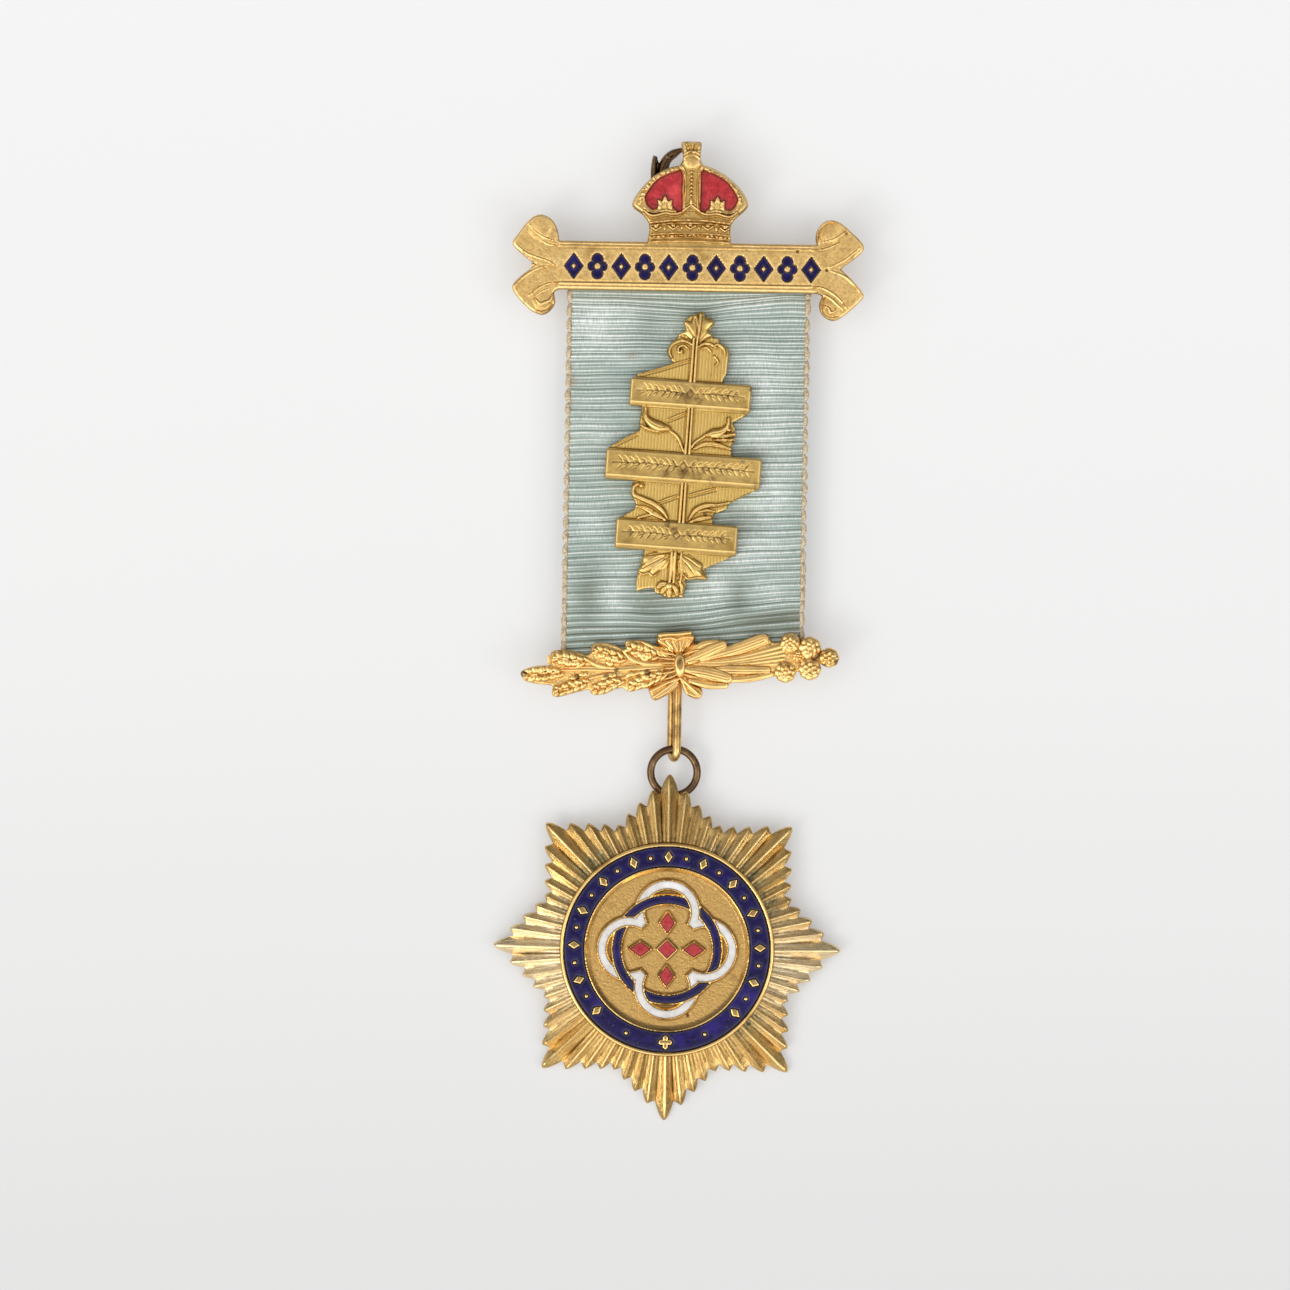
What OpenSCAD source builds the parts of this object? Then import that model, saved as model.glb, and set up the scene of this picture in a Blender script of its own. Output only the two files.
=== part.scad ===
// Fraternal medal lying on its back: crowned brooch bar, ribbon, spray bar, bail, ring and rayed star.
// +X is to the wearer's left as seen from the front, +Y towards the crown, +Z out of the front.
// The origin is the centre of the outline, on the surface that the medal lies on.

/* [Top bar] */
// Length of the scroll bar over its forked ends
bar_len = 46; // [43:1:49]
// Height of the bar's straight middle
bar_h = 6.15; // [5.8:0.05:6.4]
// Thickness of the struck plate
bar_t = 1.2; // [1:0.1:1.4]
// Height of the plate's back above the surface
bar_back = 4; // [4:0.1:4.4]
// Width of the bar's raised rim
bar_rim = 0.5; // [0.4:0.05:0.6]

/* [Crown] */
// Radius of each outer arch
arch_r = 5.45; // [5.3:0.05:5.6]
// Diameter of the beads on the arches
bead_d = 0.95; // [0.8:0.05:1.1]

/* [Ribbon] */
// Width of the ribbon without its scalloped edges
ribbon_w = 31; // [30:0.5:31.5]
// Thickness of the ribbon
ribbon_t = 1; // [1:0.1:1.2]
// Distance from one rib to the next
rib_pitch = 0.9; // [0.8:0.05:1]
// Height of a rib
rib_h = 0.16; // [0.1:0.02:0.2]

/* [Spray bar] */
// Height of the spray bar's back above the surface
spray_back = 3.8; // [3.7:0.1:4]
// Turn of the spray bar
spray_turn = 4.1; // [3:0.1:5]

/* [Links] */
// Diameter of the bail's wire
bail_wire = 1.1; // [1:0.05:1.15]
// Diameter of the jump ring's wire
ring_wire = 1; // [0.9:0.05:1.05]
// Outside diameter of the jump ring
ring_d = 7.1; // [6.9:0.1:7.3]

/* [Star] */
// Radius to the tips of the eight long rays
star_r = 22.8; // [22:0.2:23.4]
// Thickness of the star beside the roundel
star_t = 2.3; // [2.1:0.1:2.5]
// Radius of the roundel
disc_r = 14.1; // [13.9:0.1:14.2]

/* [Hidden] */
$fn = 48;

gap = 0.08;             // clearance round every inlay
gold = [0.79, 0.62, 0.33];
gilt = [0.90, 0.70, 0.33];
brown = [0.42, 0.30, 0.20];
navy = [0.13, 0.10, 0.42];
red = [0.78, 0.14, 0.20];
white = [0.93, 0.91, 0.92];
silk = [0.68, 0.78, 0.76];

// Places of the pieces on the surface
bar_at = [0.5, 47.68];
crown_at = [0.75, 55.5];
spray_at = [0.3, -4.2];
clasp_at = [0.35, 21.5];
clasp_turn = -3.1;
star_at = [-0.72, -41.35];
link_x = -0.2;

// Top bar, in its own frame: x along the bar, y up, from the middle of the bar
bar_top = bar_back + bar_t;
bar_floor = bar_top - 0.3;
lobe_r = 2.2;
lobe_x = bar_len / 2 - 4.15;
lobe_y = 4.35;
arm_turn = 46;
arm_w = 3.9;
arm_l = 3.75;
fork_tip = [bar_len / 2, 3.15];
fork_notch = bar_len / 2 - 2.55;
cell_count = 11;
cell_pitch = 3.1;
cell_w = 2.5;
cell_h = 3.4;
cell_line = 0.75;       // stroke of an inlay's frame
cell_depth = 0.5;

// Both copies of a shape, one mirrored left to right
module both_sides() {
    children();
    mirror([1, 0, 0]) children();
}

// Outline of the scroll bar, drawn in by inset
module bar_shape(inset = 0) {
    square([2 * lobe_x, bar_h - 2 * inset], center = true);
    both_sides() {
        polygon([[lobe_x - 1, -3.05 + inset], [lobe_x - 1, 3.05 - inset], [fork_notch - 1.4 * inset, 0]]);
        for (side = [-1, 1]) scale([1, side, 1]) {
            translate([lobe_x, lobe_y]) circle(r = lobe_r - inset);
            translate(fork_tip) rotate(-arm_turn)
                translate([-arm_l, inset - arm_w]) square([arm_l - inset, arm_w - 2 * inset]);
        }
    }
}

// One inlay of the bar: a hollow lozenge, or a hollow four-petalled flower on every second place
module bar_cell_shape(i, grow = 0) {
    w = cell_w / 2 + grow;
    h = cell_h / 2 + grow;
    if (i % 2 == 1) difference() {
        polygon([[w, 0], [0, h], [-w, 0], [0, -h]]);
        polygon([[w - 1.25 * cell_line - 2 * grow, 0], [0, h - 1.7 * cell_line - 2 * grow],
            [1.25 * cell_line + 2 * grow - w, 0], [0, 1.7 * cell_line + 2 * grow - h]]);
    } else difference() {
        union() {
            for (side = [-1, 1]) {
                translate([0, side * 0.95]) circle(r = 0.72 + grow);
                translate([side * 0.65, 0]) circle(r = 0.62 + grow);
            }
        }
        circle(r = 0.42 - grow);
    }
}
function cell_x(i) = (i - (cell_count + 1) / 2) * cell_pitch + 0.55;

// Crown, in its own frame: origin at the middle of its jewelled rim
arch_x = 2.2;
arch_y = 0.2;
arch_band = 1.1;
mid_arch = 2.5;
enamel_low = -0.25;
fleur_x = 3.35;

module crown_field(inset = 0) {
    difference() {
        intersection() {
            translate([-arch_x, arch_y]) circle(r = arch_r - arch_band - inset);
            translate([-8, enamel_low + inset]) square([8 - mid_arch / 2 - inset, 6]);
        }
        translate([-fleur_x, enamel_low]) fleur_shape(inset);
    }
}
// Three round petals on a stalk
module fleur_shape(grow = 0) {
    translate([-0.4 - grow, 0]) square([0.8 + 2 * grow, 1.2]);
    for (p = [[-0.68, 0.85], [0.68, 0.85], [0, 1.5]]) translate(p) circle(r = 0.5 + grow);
}
module crown_shape() {
    intersection() {
        both_sides() translate([-arch_x, arch_y]) circle(r = arch_r);
        translate([-10, -0.4]) square([20, 10]);
    }
    polygon([[-5.6, -5], [5.6, -5], [5.7, -2], [6.3, -1.2], [7.5, -0.4], [7.6, 0.6], [-7.6, 0.6],
        [-7.5, -0.4], [-6.3, -1.2], [-5.7, -2]]);
    translate([0, 5.7]) circle(r = 1.25);
}
// Cross with arms that widen outwards
module cross_shape(size) {
    for (a = [0, 90, 180, 270]) rotate(a)
        polygon([[-0.25 * size, 0], [-0.5 * size, size], [0.5 * size, size], [0.25 * size, 0]]);
}
module crown_relief() {
    both_sides() {
        // outer arch with its beads
        linear_extrude(bar_t + 0.5) intersection() {
            translate([-arch_x, arch_y]) difference() {
                circle(r = arch_r);
                circle(r = arch_r - arch_band);
            }
            translate([-8, -0.3]) square([8, 7]);
        }
        for (a = [96 : 11.5 : 176]) translate([-arch_x, arch_y, bar_t + 0.5])
            rotate(a) translate([arch_r - arch_band / 2, 0, 0]) sphere(d = bead_d, $fn = 20);
        translate([-fleur_x, enamel_low, 0]) linear_extrude(bar_t + 0.15) fleur_shape();
    }
    // middle arch with its beads
    translate([-mid_arch / 2, -0.3, 0]) cube([mid_arch, 6.3, bar_t + 0.7]);
    for (i = [0 : 4]) translate([0, 0.5 + 1.02 * i, bar_t + 0.7]) sphere(d = bead_d, $fn = 20);
    // rim, two mouldings and the row of lozenges
    translate([-7.5, -0.95, 0]) cube([15, 0.75, bar_t + 0.8]);
    translate([-5.7, -2.05, 0]) cube([11.4, 0.5, bar_t + 0.6]);
    translate([-5.6, -3.75, 0]) cube([11.2, 0.45, bar_t + 0.6]);
    for (i = [-2 : 2]) translate([2.25 * i, -2.68, 0]) linear_extrude(bar_t + 0.45)
        polygon([[0.85, 0], [0, 0.5], [-0.85, 0], [0, -0.5]]);
    // orb and cross
    translate([0, 6.1, bar_t - 0.2]) sphere(r = 1.1, $fn = 28);
    translate([0, 7.55, 0]) linear_extrude(bar_t + 0.6) cross_shape(1.15);
}

// Hardware behind the bar
rod_r = 0.5;
wrap_r = rod_r + 0.1 + ribbon_t;        // outside of the ribbon round a rod
bar_rod_y = -1.98;
bar_rod_z = bar_back - 0.1 - wrap_r;
rod_half = ribbon_w / 2 + 1.6;
ribbon_x = 0.65;
pin_y = 0.35;
pin_z = 1;
pin_r = 0.5;
hinge_x = 18.3;
catch_x = -18.6;
pin_tip_x = -20.6;

module bar_hardware() {
    translate([ribbon_x - bar_at[0], bar_rod_y, 0]) {
        translate([-rod_half - 0.4, 0, bar_rod_z]) rotate([0, 90, 0])
            cylinder(r = rod_r, h = 2 * rod_half + 0.8);
        for (side = [-1, 1]) translate([side * rod_half - 0.5, -0.6, bar_rod_z - 0.4])
            cube([1, 1.2, bar_back - bar_rod_z + 0.6]);
    }
    // hinge: two cheeks with a rivet between them
    for (side = [-1, 1]) translate([hinge_x - 0.35, pin_y - 0.3 + side * 0.95, 0.1])
        cube([1.9, 0.6, bar_back + 0.1]);
    translate([hinge_x + 0.6, pin_y - 1, pin_z]) rotate([-90, 0, 0]) cylinder(r = 0.3, h = 2, $fn = 24);
    // catch: a hook open towards the bar's top edge
    translate([catch_x - 0.6, pin_y, 0]) rotate([0, 90, 0]) linear_extrude(1.2) difference() {
        union() {
            translate([-pin_z, 0]) circle(r = 1);
            translate([-bar_back - 0.2, -1]) square([bar_back + 0.2 - pin_z, 0.4]);
        }
        translate([-pin_z, 0]) circle(r = 0.6);
        translate([-pin_z - 2, -0.6]) square([2, 2]);
    }
}

module crown_bar() color(gold) {
    translate([bar_at[0], bar_at[1], 0]) {
        difference() {
            union() {
                translate([0, 0, bar_back]) linear_extrude(bar_t) bar_shape();
                translate([crown_at[0] - bar_at[0], crown_at[1] - bar_at[1], bar_back]) difference() {
                    union() {
                        linear_extrude(bar_t) crown_shape();
                        crown_relief();
                    }
                    translate([0, 0, bar_t - cell_depth]) {
                        linear_extrude(3) crown_field();
                        mirror([1, 0, 0]) linear_extrude(3) crown_field();
                    }
                }
            }
            // sunk field inside the rim, and the cells for the inlays
            translate([0, 0, bar_floor]) linear_extrude(1) bar_shape(bar_rim);
            for (i = [1 : cell_count]) translate([cell_x(i), 0, bar_floor - cell_depth])
                linear_extrude(1) bar_cell_shape(i, gap);
        }
        // curl on each lobe
        both_sides() for (side = [-1, 1]) translate([lobe_x, side * lobe_y, bar_back + 0.5])
            linear_extrude(bar_t - 0.5 + 0.1) difference() {
                circle(r = 1.25);
                circle(r = 0.75);
            }
        bar_hardware();
    }
}

module crown_enamel() {
    translate([crown_at[0], crown_at[1], bar_back + bar_t - cell_depth + gap])
        linear_extrude(cell_depth - gap - 0.02) crown_field(gap);
}
module crown_enamel_left() color(red) crown_enamel();
module crown_enamel_right() color(red)
    translate([2 * crown_at[0], 0, 0]) mirror([1, 0, 0]) crown_enamel();

module bar_enamel(i) color(navy)
    translate([bar_at[0] + cell_x(i), bar_at[1], bar_floor - cell_depth + gap])
        linear_extrude(cell_depth - gap) bar_cell_shape(i);

module brooch_pin() color(gold) translate([bar_at[0], bar_at[1] + pin_y, pin_z]) {
    difference() {
        union() {
            translate([hinge_x + 0.6, 0, 0]) rotate([90, 0, 0]) cylinder(r = 0.85, h = 1, center = true);
            translate([pin_tip_x + 1.2, 0, 0]) rotate([0, 90, 0])
                cylinder(r = pin_r, h = hinge_x - pin_tip_x - 1.2);
        }
        translate([hinge_x + 0.6, 0, 0]) rotate([90, 0, 0]) cylinder(r = 0.3 + gap, h = 3, center = true);
    }
    translate([pin_tip_x, 0, 0]) rotate([0, 90, 0]) cylinder(r1 = 0.2, r2 = pin_r, h = 1.2);
}

// Forked hook on a strip behind the crown
module back_hook() color(brown)
    translate([0, 0, bar_back - 0.1 - 1]) linear_extrude(1) {
        polygon([[-4.4, 55], [-4.4, 61.9], [-4, 62.4], [-3.45, 61.7], [-2.7, 61.5], [-1.6, 60.9],
            [-1.6, 55]]);
        polygon([[-2.9, 61.1], [-2.3, 62.4], [-1.5, 63.1], [-0.7, 63.3], [-0.5, 62.9], [-1.2, 62.3],
            [-1.7, 61.4], [-1.8, 60.8]]);
    }

// Ribbon: a band with ribs, turned round the two rods, as a list of stations along its middle
rod_top = [bar_at[1] + bar_rod_y, bar_rod_z];
spray_rod_y = 1.6;
rod_low = [spray_at[1] + spray_rod_y, spray_back - 0.1 - wrap_r];
mid_r = rod_r + 0.1 + ribbon_t / 2;
fold_len = 12;                          // length turned back behind each rod
front_len = rod_top[0] - rod_low[0];
turn_len = 180 * mid_r * PI / 180;
band_len = 2 * fold_len + 2 * turn_len + front_len;
stations = 2 * floor(band_len / rib_pitch);
scallop = 0.55;

// Place [y, z, direction] of the band's middle at a length from its lower end
function low_turn(a) = [rod_low[0] - mid_r * sin(a), rod_low[1] - mid_r * cos(a), 180 - a];
function high_turn(a) = [rod_top[0] + mid_r * sin(a), rod_top[1] + mid_r * cos(a), -a];
function band_at(s) =
    s < fold_len ? [rod_low[0] + fold_len - s, rod_low[1] - mid_r, 180]
    : s < fold_len + turn_len ? low_turn((s - fold_len) / turn_len * 180)
    : s < fold_len + turn_len + front_len ?
        let (t = (s - fold_len - turn_len) / front_len)
        [rod_low[0] + t * front_len, rod_low[1] + mid_r + t * (rod_top[1] - rod_low[1]), 0]
    : s < band_len - fold_len ? high_turn((s - fold_len - turn_len - front_len) / turn_len * 180)
    : [rod_top[0] - (s - band_len + fold_len), rod_top[1] - mid_r, -180];

// The band leans with the spray bar at its lower end and lies square at its upper end
function lean(y) = (rod_top[0] - y) / front_len * tan(spray_turn);
function band_point(s, side, off) =
    let (p = band_at(s), x = side * (ribbon_w / 2 + scallop * abs(sin(s / rib_pitch * 90))))
    [x, p[0] - off * sin(p[2]) + x * min(max(lean(p[0]), 0), tan(spray_turn)), p[1] + off * cos(p[2])];

module ribbon() color(silk) {
    // four points a station: left and right, outside and inside
    points = [for (i = [0 : stations]) let (s = i * band_len / stations, rib = i % 2 == 0 ? 0 : rib_h)
        for (side = [-1, 1]) for (off = [ribbon_t / 2 - rib, rib / 2 - ribbon_t / 2])
            band_point(s, side, off)];
    faces = concat(
        [[0, 1, 3, 2], [for (k = [2, 3, 1, 0]) 4 * stations + k]],
        [for (i = [0 : stations - 1]) let (a = 4 * i, b = a + 4) each [
            [a, a + 2, b + 2, b], [a + 1, b + 1, b + 3, a + 3],
            [a, b, b + 1, a + 1], [a + 2, a + 3, b + 3, b + 2]]]);
    difference() {
        translate([ribbon_x, 0, 0]) polyhedron(points, faces, convexity = 6);
        translate([clasp_at[0], clasp_at[1], 0]) rotate(clasp_turn) for (p = post_at)
            translate([p[0], p[1], post_low]) cylinder(r = post_r + 0.12, h = 4);
    }
}

// A low ridge through a list of [x, y, radius], flat underneath, each length a little higher than the last
step_up = 0.017;
module ridge(path, low, height) {
    for (i = [0 : len(path) - 2]) hull() for (p = [path[i], path[i + 1]])
        translate([p[0], p[1], low]) rotate(7 * i)
            cylinder(r1 = p[2], r2 = 0.55 * p[2], h = height + i * step_up, $fn = 8);
}

// Scroll clasp, in its own frame: x across, y up the staff
clasp_back = 4.15;
clasp_t = 0.6;
// each band: left end, right end, lower edge, upper edge
clasp_bands = [[-7.75, 8.15, 7.7, 11.4], [-10.2, 10.15, -2.1, 1.9], [-8.3, 7.7, -11.0, -7.05]];

module clasp_backing() {
    // cloth of the folded scroll between the bands, then the leaf at each end
    polygon([[-7, 11.2], [-2.6, 13.5], [-3.2, 15.1], [-2.9, 16.2], [-2.1, 16.9], [-1.9, 17.5], [-1.1, 17.8],
        [-1.1, 19.4], [0.1, 20.1], [1, 20.6], [1.6, 20], [2.6, 19.4], [2.1, 17.9], [3.5, 17.1], [4, 16.4],
        [4.8, 15.8], [4.7, 12.2], [4.2, 11.2]]);
    polygon([[-6, 8], [-6.2, 6], [-6.2, 5], [-8, 3.6], [-10.1, 1.7], [6.4, 1.7], [6.2, 2.5], [6.7, 4.4],
        [6.2, 5.7], [5.6, 6.3], [7.8, 7.8]]);
    polygon([[-6.3, -2], [-6.8, -2.9], [-6.6, -4], [-5.8, -5.1], [-6.2, -6], [-8.1, -7.2], [4.3, -7.2],
        [4.4, -6], [6, -4.9], [6.6, -4], [10, -1.9]]);
    polygon([[-4.3, -10.9], [-4.6, -12.8], [-5.2, -14], [-4.9, -16.4], [-3, -15.9], [-2.3, -16.5],
        [-0.9, -17.1], [1.1, -16.9], [1.4, -15], [2.4, -14.4], [4.3, -14.2], [3.7, -12.8], [7.5, -10.9]]);
}
// One band: a bevelled strip with its middle a little proud
module clasp_band(b) {
    w = b[1] - b[0];
    h = b[3] - b[2];
    translate([b[0], b[2], clasp_back]) rotate([90, 0, 90]) linear_extrude(w)
        polygon([[0, 0], [h, 0], [h, 0.75], [h - 0.3, 1.05], [h / 2, 1.25], [0.35, 1.05], [0, 0.7]]);
}
// each leaf: rows of [x, y, radius] along its spine
clasp_leaves = [
    [[-0.4, 17.2, 0.4], [-0.6, 18.9, 0.5]],
    [[0.9, 17.6, 0.5], [0.8, 20, 0.5]],
    [[1.6, 17.8, 0.3], [2.2, 19.2, 0.45]],
    [[0.3, 16.4, 0.3], [-1.2, 16.9, 0.45], [-2.6, 16, 0.5], [-2.7, 14.8, 0.4]],
    [[0.7, 16.2, 0.3], [2.2, 16.8, 0.45], [3.6, 16.3, 0.5], [4.2, 15.3, 0.4]],
    [[0, 2.2, 0.25], [-2, 4.4, 0.3], [-3.2, 5.2, 0.8], [-4.8, 5.9, 0.45], [-5.4, 7.2, 0.3]],
    [[0.3, 2.6, 0.25], [2.2, 4, 0.4], [4, 4.6, 0.8], [5.3, 5.8, 0.4], [5.3, 6.8, 0.3]],
    [[5.9, 4.3, 0.6], [3, 3.1, 0.5]],
    [[-1.9, -6.8, 0.35], [-2.6, -5.4, 0.4], [-4.6, -4.6, 0.45], [-6.2, -4, 0.3], [-6.4, -2.8, 0.35]],
    [[1.3, -6.6, 0.35], [2.4, -5.2, 0.4], [4, -4.7, 0.4], [6, -4.6, 0.35]],
    [[2, -6, 0.4], [3.8, -6.3, 0.4]],
    [[-0.6, -11.2, 0.4], [-2.6, -13.4, 0.7], [-4.8, -14, 0.4]],
    [[-0.5, -11.2, 0.4], [-2, -14.2, 0.8], [-2.4, -16.1, 0.4]],
    [[-0.3, -11.2, 0.4], [-0.4, -14.2, 0.6], [-0.6, -16.7, 0.4]],
    [[0, -11.2, 0.4], [0.9, -14, 0.6], [0.9, -16.5, 0.4]],
    [[0.3, -11.2, 0.4], [2.2, -13, 0.7], [3.9, -14, 0.35]]];

// two posts hold the clasp to the ribbon, each with a flat head behind it
post_r = 0.4;
post_low = 2;
post_at = [[0.35, 12.3], [0, -12.3]];

module scroll_clasp() color(gold)
    translate([clasp_at[0], clasp_at[1], 0]) rotate(clasp_turn) {
        for (p = post_at) translate([p[0], p[1], post_low]) {
            cylinder(r = post_r, h = clasp_back + 0.2 - post_low, $fn = 12);
            cylinder(r = 2 * post_r, h = 0.5, $fn = 12);
        }
        translate([0, 0, clasp_back]) linear_extrude(clasp_t) clasp_backing();
        for (b = clasp_bands) clasp_band(b);
        for (i = [0 : len(clasp_leaves) - 1])
            ridge(clasp_leaves[i], clasp_back, clasp_t + 0.35 + i * step_up);
        for (y = [[11, 17.5], [1.8, 8], [-7.2, -2]])
            ridge([[0.35, y[0], 0.35], [0.35, y[1], 0.35]], clasp_back, clasp_t + 0.5 + y[0] / 100);
    }

// Spray bar, in its own frame: x along the bar, y up, from the middle of the knot
spray_t = 0.9;
grain_l = 1.3;
grain_w = 0.76;
grain_turn = 26;
// each wheat ear: tip, base, half width
spray_ears = [
    [[-20.7, -0.1], [-15.8, 0], 1.25],
    [[-16.4, 2], [-12, 1.2], 1.15],
    [[-16.5, -2.5], [-12, -1.4], 1.05],
    [[-11.2, 3], [-7, 1.4], 1.15],
    [[-11.6, -2.8], [-7, -1.5], 1.05],
    [[-6.8, 2.9], [-2.2, 1.2], 1.15],
    [[-6.8, -2.6], [-2.2, -1.4], 1.05]];
// each stalk or leaf: rows of [x, y, radius]
spray_leaves = [
    [[-16, 0, 0.45], [-1, 0, 0.6]],
    [[-12, 1.2, 0.35], [-6, 0.4, 0.4]],
    [[-7, 1.4, 0.35], [-1, 0.5, 0.4]],
    [[0.8, 1.2, 0.5], [5.9, 2.4, 0.75]],
    [[0.8, 0.7, 0.4], [8, 2, 0.65], [11.4, 2.75, 0.75]],
    [[0.8, 0.2, 0.5], [12.8, 1.3, 0.8]],
    [[0.8, -0.3, 0.5], [11, -0.5, 0.6]],
    [[0.8, -1.2, 0.5], [6, -1.6, 0.6]],
    [[0.8, -1.6, 0.5], [5.9, -2.7, 0.55]],
    [[6, -1.7, 0.7], [11.6, -2, 0.6]]];
// each flower: centre and radius
spray_flowers = [[14.7, 2, 1.35], [17.1, 1.1, 1.6], [13.8, -1.4, 1.7], [17, -1.2, 1.55], [19.7, -0.1, 1.35]];
// bow: loop above the knot and the two tails
bow_loop = [[-2.7, 4.2], [-2.9, 3], [-0.7, 1.2], [0.7, 1.2], [2.2, 3], [1.8, 4.35]];
bow_tails = [[[-0.6, -1], [-4.3, -2.9], [-3.8, -4.4], [-1.3, -3.6], [0.2, -1.4]],
    [[-0.4, -1.2], [0.2, -3.4], [1.9, -4.5], [2.6, -4.3], [2.7, -3.3], [0.7, -1]]];
staple_y = -2.1;
staple_z = 1.8;
staple_half = 2;
staple_r = 0.45;

// Direction of a path at one of its points, and the points of a strip along it, its width times part
function way(path, i) =
    let (a = path[max(i - 1, 0)], b = path[min(i + 1, len(path) - 1)], d = [b[0] - a[0], b[1] - a[1]])
    d / norm(d);
function strip_edge(path, i, part) =
    [path[i][0], path[i][1]] + part * path[i][2] * [-way(path, i)[1], way(path, i)[0]];
function strip_points(path, part) = let (n = len(path) - 1) concat(
    [for (i = [0 : n]) strip_edge(path, i, part)],
    [[path[n][0], path[n][1]] + part * path[n][2] * way(path, n)],
    [for (i = [n : -1 : 0]) strip_edge(path, i, -part)],
    [[path[0][0], path[0][1]] - part * path[0][2] * way(path, 0)]);

// One grain seen from above: pointed at its far end
module grain() {
    long = grain_l / 2;
    wide = grain_w / 2;
    polygon([[-long, 0], [-0.3 * long, wide], [0.6 * long, 0.9 * wide], [long, 0], [0.6 * long, -0.9 * wide],
        [-0.3 * long, -wide]]);
}
ear_rows = 4;
// Grains of the rows that start at first, in two columns along each ear
module ear_grains(first) {
    for (ear = spray_ears) {
        along = ear[1] - ear[0];
        step = (norm(along) - 1) / ear_rows;
        translate(ear[0]) rotate(atan2(along[1], along[0]))
            for (i = [first : 2 : ear_rows - 1]) for (side = [-1, 1])
                translate([1.55 + i * step, side * (0.68 - 0.03 * i) * ear[2]])
                    rotate(-side * grain_turn) grain();
    }
}
module spray_outline() {
    for (ear = spray_ears) {
        along = ear[1] - ear[0];
        length = norm(along);
        translate(ear[0]) rotate(atan2(along[1], along[0]))
            polygon([[-0.2, 0], [0.9, ear[2]], [0.6 * length, ear[2]], [length, 0.7 * ear[2]],
                [length, -0.7 * ear[2]], [0.6 * length, -ear[2]], [0.9, -ear[2]]]);
    }
    for (path = spray_leaves) polygon(strip_points(path, 1));
    for (f = spray_flowers) translate([f[0], f[1]]) circle(r = 0.86 * f[2], $fn = 16);
    translate([-15.3, -1.03]) square([34.3, 2.17]);
    for (shape = concat([bow_loop], bow_tails)) polygon(shape);
    polygon(knot_points(1));
}
function knot_points(part) = [for (a = [10 : 30 : 340]) part * [0.85 * cos(a), 1.65 * sin(a)]];
// Raised parts in three levels
module spray_low_relief() {
    ear_grains(1);
    for (path = spray_leaves) polygon(strip_points(path, 0.6));
    for (shape = bow_tails) polygon(strip_points([for (p = [shape[0], shape[2]]) [p[0], p[1], 0.8]], 0.9));
}
module spray_high_relief() {
    ear_grains(0);
    for (f = spray_flowers) for (a = [0 : 60 : 300]) translate([f[0], f[1]]) rotate(a + 7 * f[2])
        translate([0.64 * f[2], 0]) circle(r = 0.29 * f[2], $fn = 12);
    polygon(bow_loop * 0.88);
}
module spray_top_relief() {
    for (f = spray_flowers) translate([f[0], f[1]]) circle(r = 0.27 * f[2], $fn = 12);
    polygon(knot_points(0.93));
}
module spray_hardware() {
    rod_x = ribbon_x - spray_at[0];
    translate([rod_x - rod_half - 0.4, spray_rod_y, rod_low[1]]) rotate([0, 90, 0])
        cylinder(r = rod_r, h = 2 * rod_half + 0.8);
    for (side = [-1, 1]) translate([rod_x + side * rod_half - 0.5, spray_rod_y - 0.6, rod_low[1] - 0.4])
        cube([1, 1.2, spray_back - rod_low[1] + 0.6]);
    // staple that carries the bail
    translate([-staple_half - 0.5, staple_y, staple_z]) rotate([0, 90, 0])
        cylinder(r = staple_r, h = 2 * staple_half);
    for (x = [-staple_half - 0.5, staple_half - 0.5])
        translate([x - 0.45, staple_y - staple_r - 0.1, staple_z - staple_r + 0.1])
            cube([0.9, 2 * staple_r + 0.2, spray_back - staple_z + 0.65]);
}
module spray_bar() color(gilt)
    translate([spray_at[0], spray_at[1], 0]) rotate(spray_turn) {
        translate([0, 0, spray_back]) {
            linear_extrude(spray_t) spray_outline();
            translate([0, 0, 0.2]) linear_extrude(spray_t + 0.05) spray_low_relief();
            translate([0, 0, 0.25]) linear_extrude(spray_t + 0.2) spray_high_relief();
            translate([0, 0, 0.3]) linear_extrude(spray_t + 0.5) spray_top_relief();
        }
        spray_hardware();
    }

// Bail: a long loop of wire that holds the staple at one end and the ring at the other
bail_turn = 18;                          // lean of the loop about its length
bail_half = 0.5 + 0.12 + bail_wire / 2;  // from the loop's middle to a strand's middle
bail_top = spray_at[1] + staple_y;
ring_r = (ring_d - ring_wire) / 2;
ring_at = [link_x, -18.3];
bail_low = ring_at[1] + ring_r;
bail_z = 1.82;

module half_turn(r, wire) {
    rotate_extrude(angle = 180) translate([r, 0]) circle(d = wire, $fn = 24);
}
module bail() color(gilt)
    translate([link_x - 0.05, 0, bail_z]) rotate([0, bail_turn, 0]) rotate([0, -90, 0]) {
        translate([0, bail_top, 0]) half_turn(bail_half, bail_wire);
        translate([0, bail_low, 0]) mirror([0, 1, 0]) half_turn(bail_half, bail_wire);
        for (side = [-1, 1]) translate([side * bail_half, bail_low, 0]) rotate([-90, 0, 0])
            cylinder(d = bail_wire, h = bail_top - bail_low, $fn = 24);
    }

// Jump ring: nearly flat, rising from the star's eyelet to the bail
eyelet_wire = 0.7;
eyelet_half = ring_wire / 2 + 0.15 + eyelet_wire / 2;
eyelet_z = eyelet_half + eyelet_wire / 2 + 0.02;
ring_lean = asin((bail_z - eyelet_z) / (2 * ring_r));

module jump_ring() color(brown)
    translate([ring_at[0], ring_at[1], (bail_z + eyelet_z) / 2]) rotate([ring_lean, 0, 0])
        rotate_extrude() translate([ring_r, 0]) circle(d = ring_wire, $fn = 24);

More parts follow.
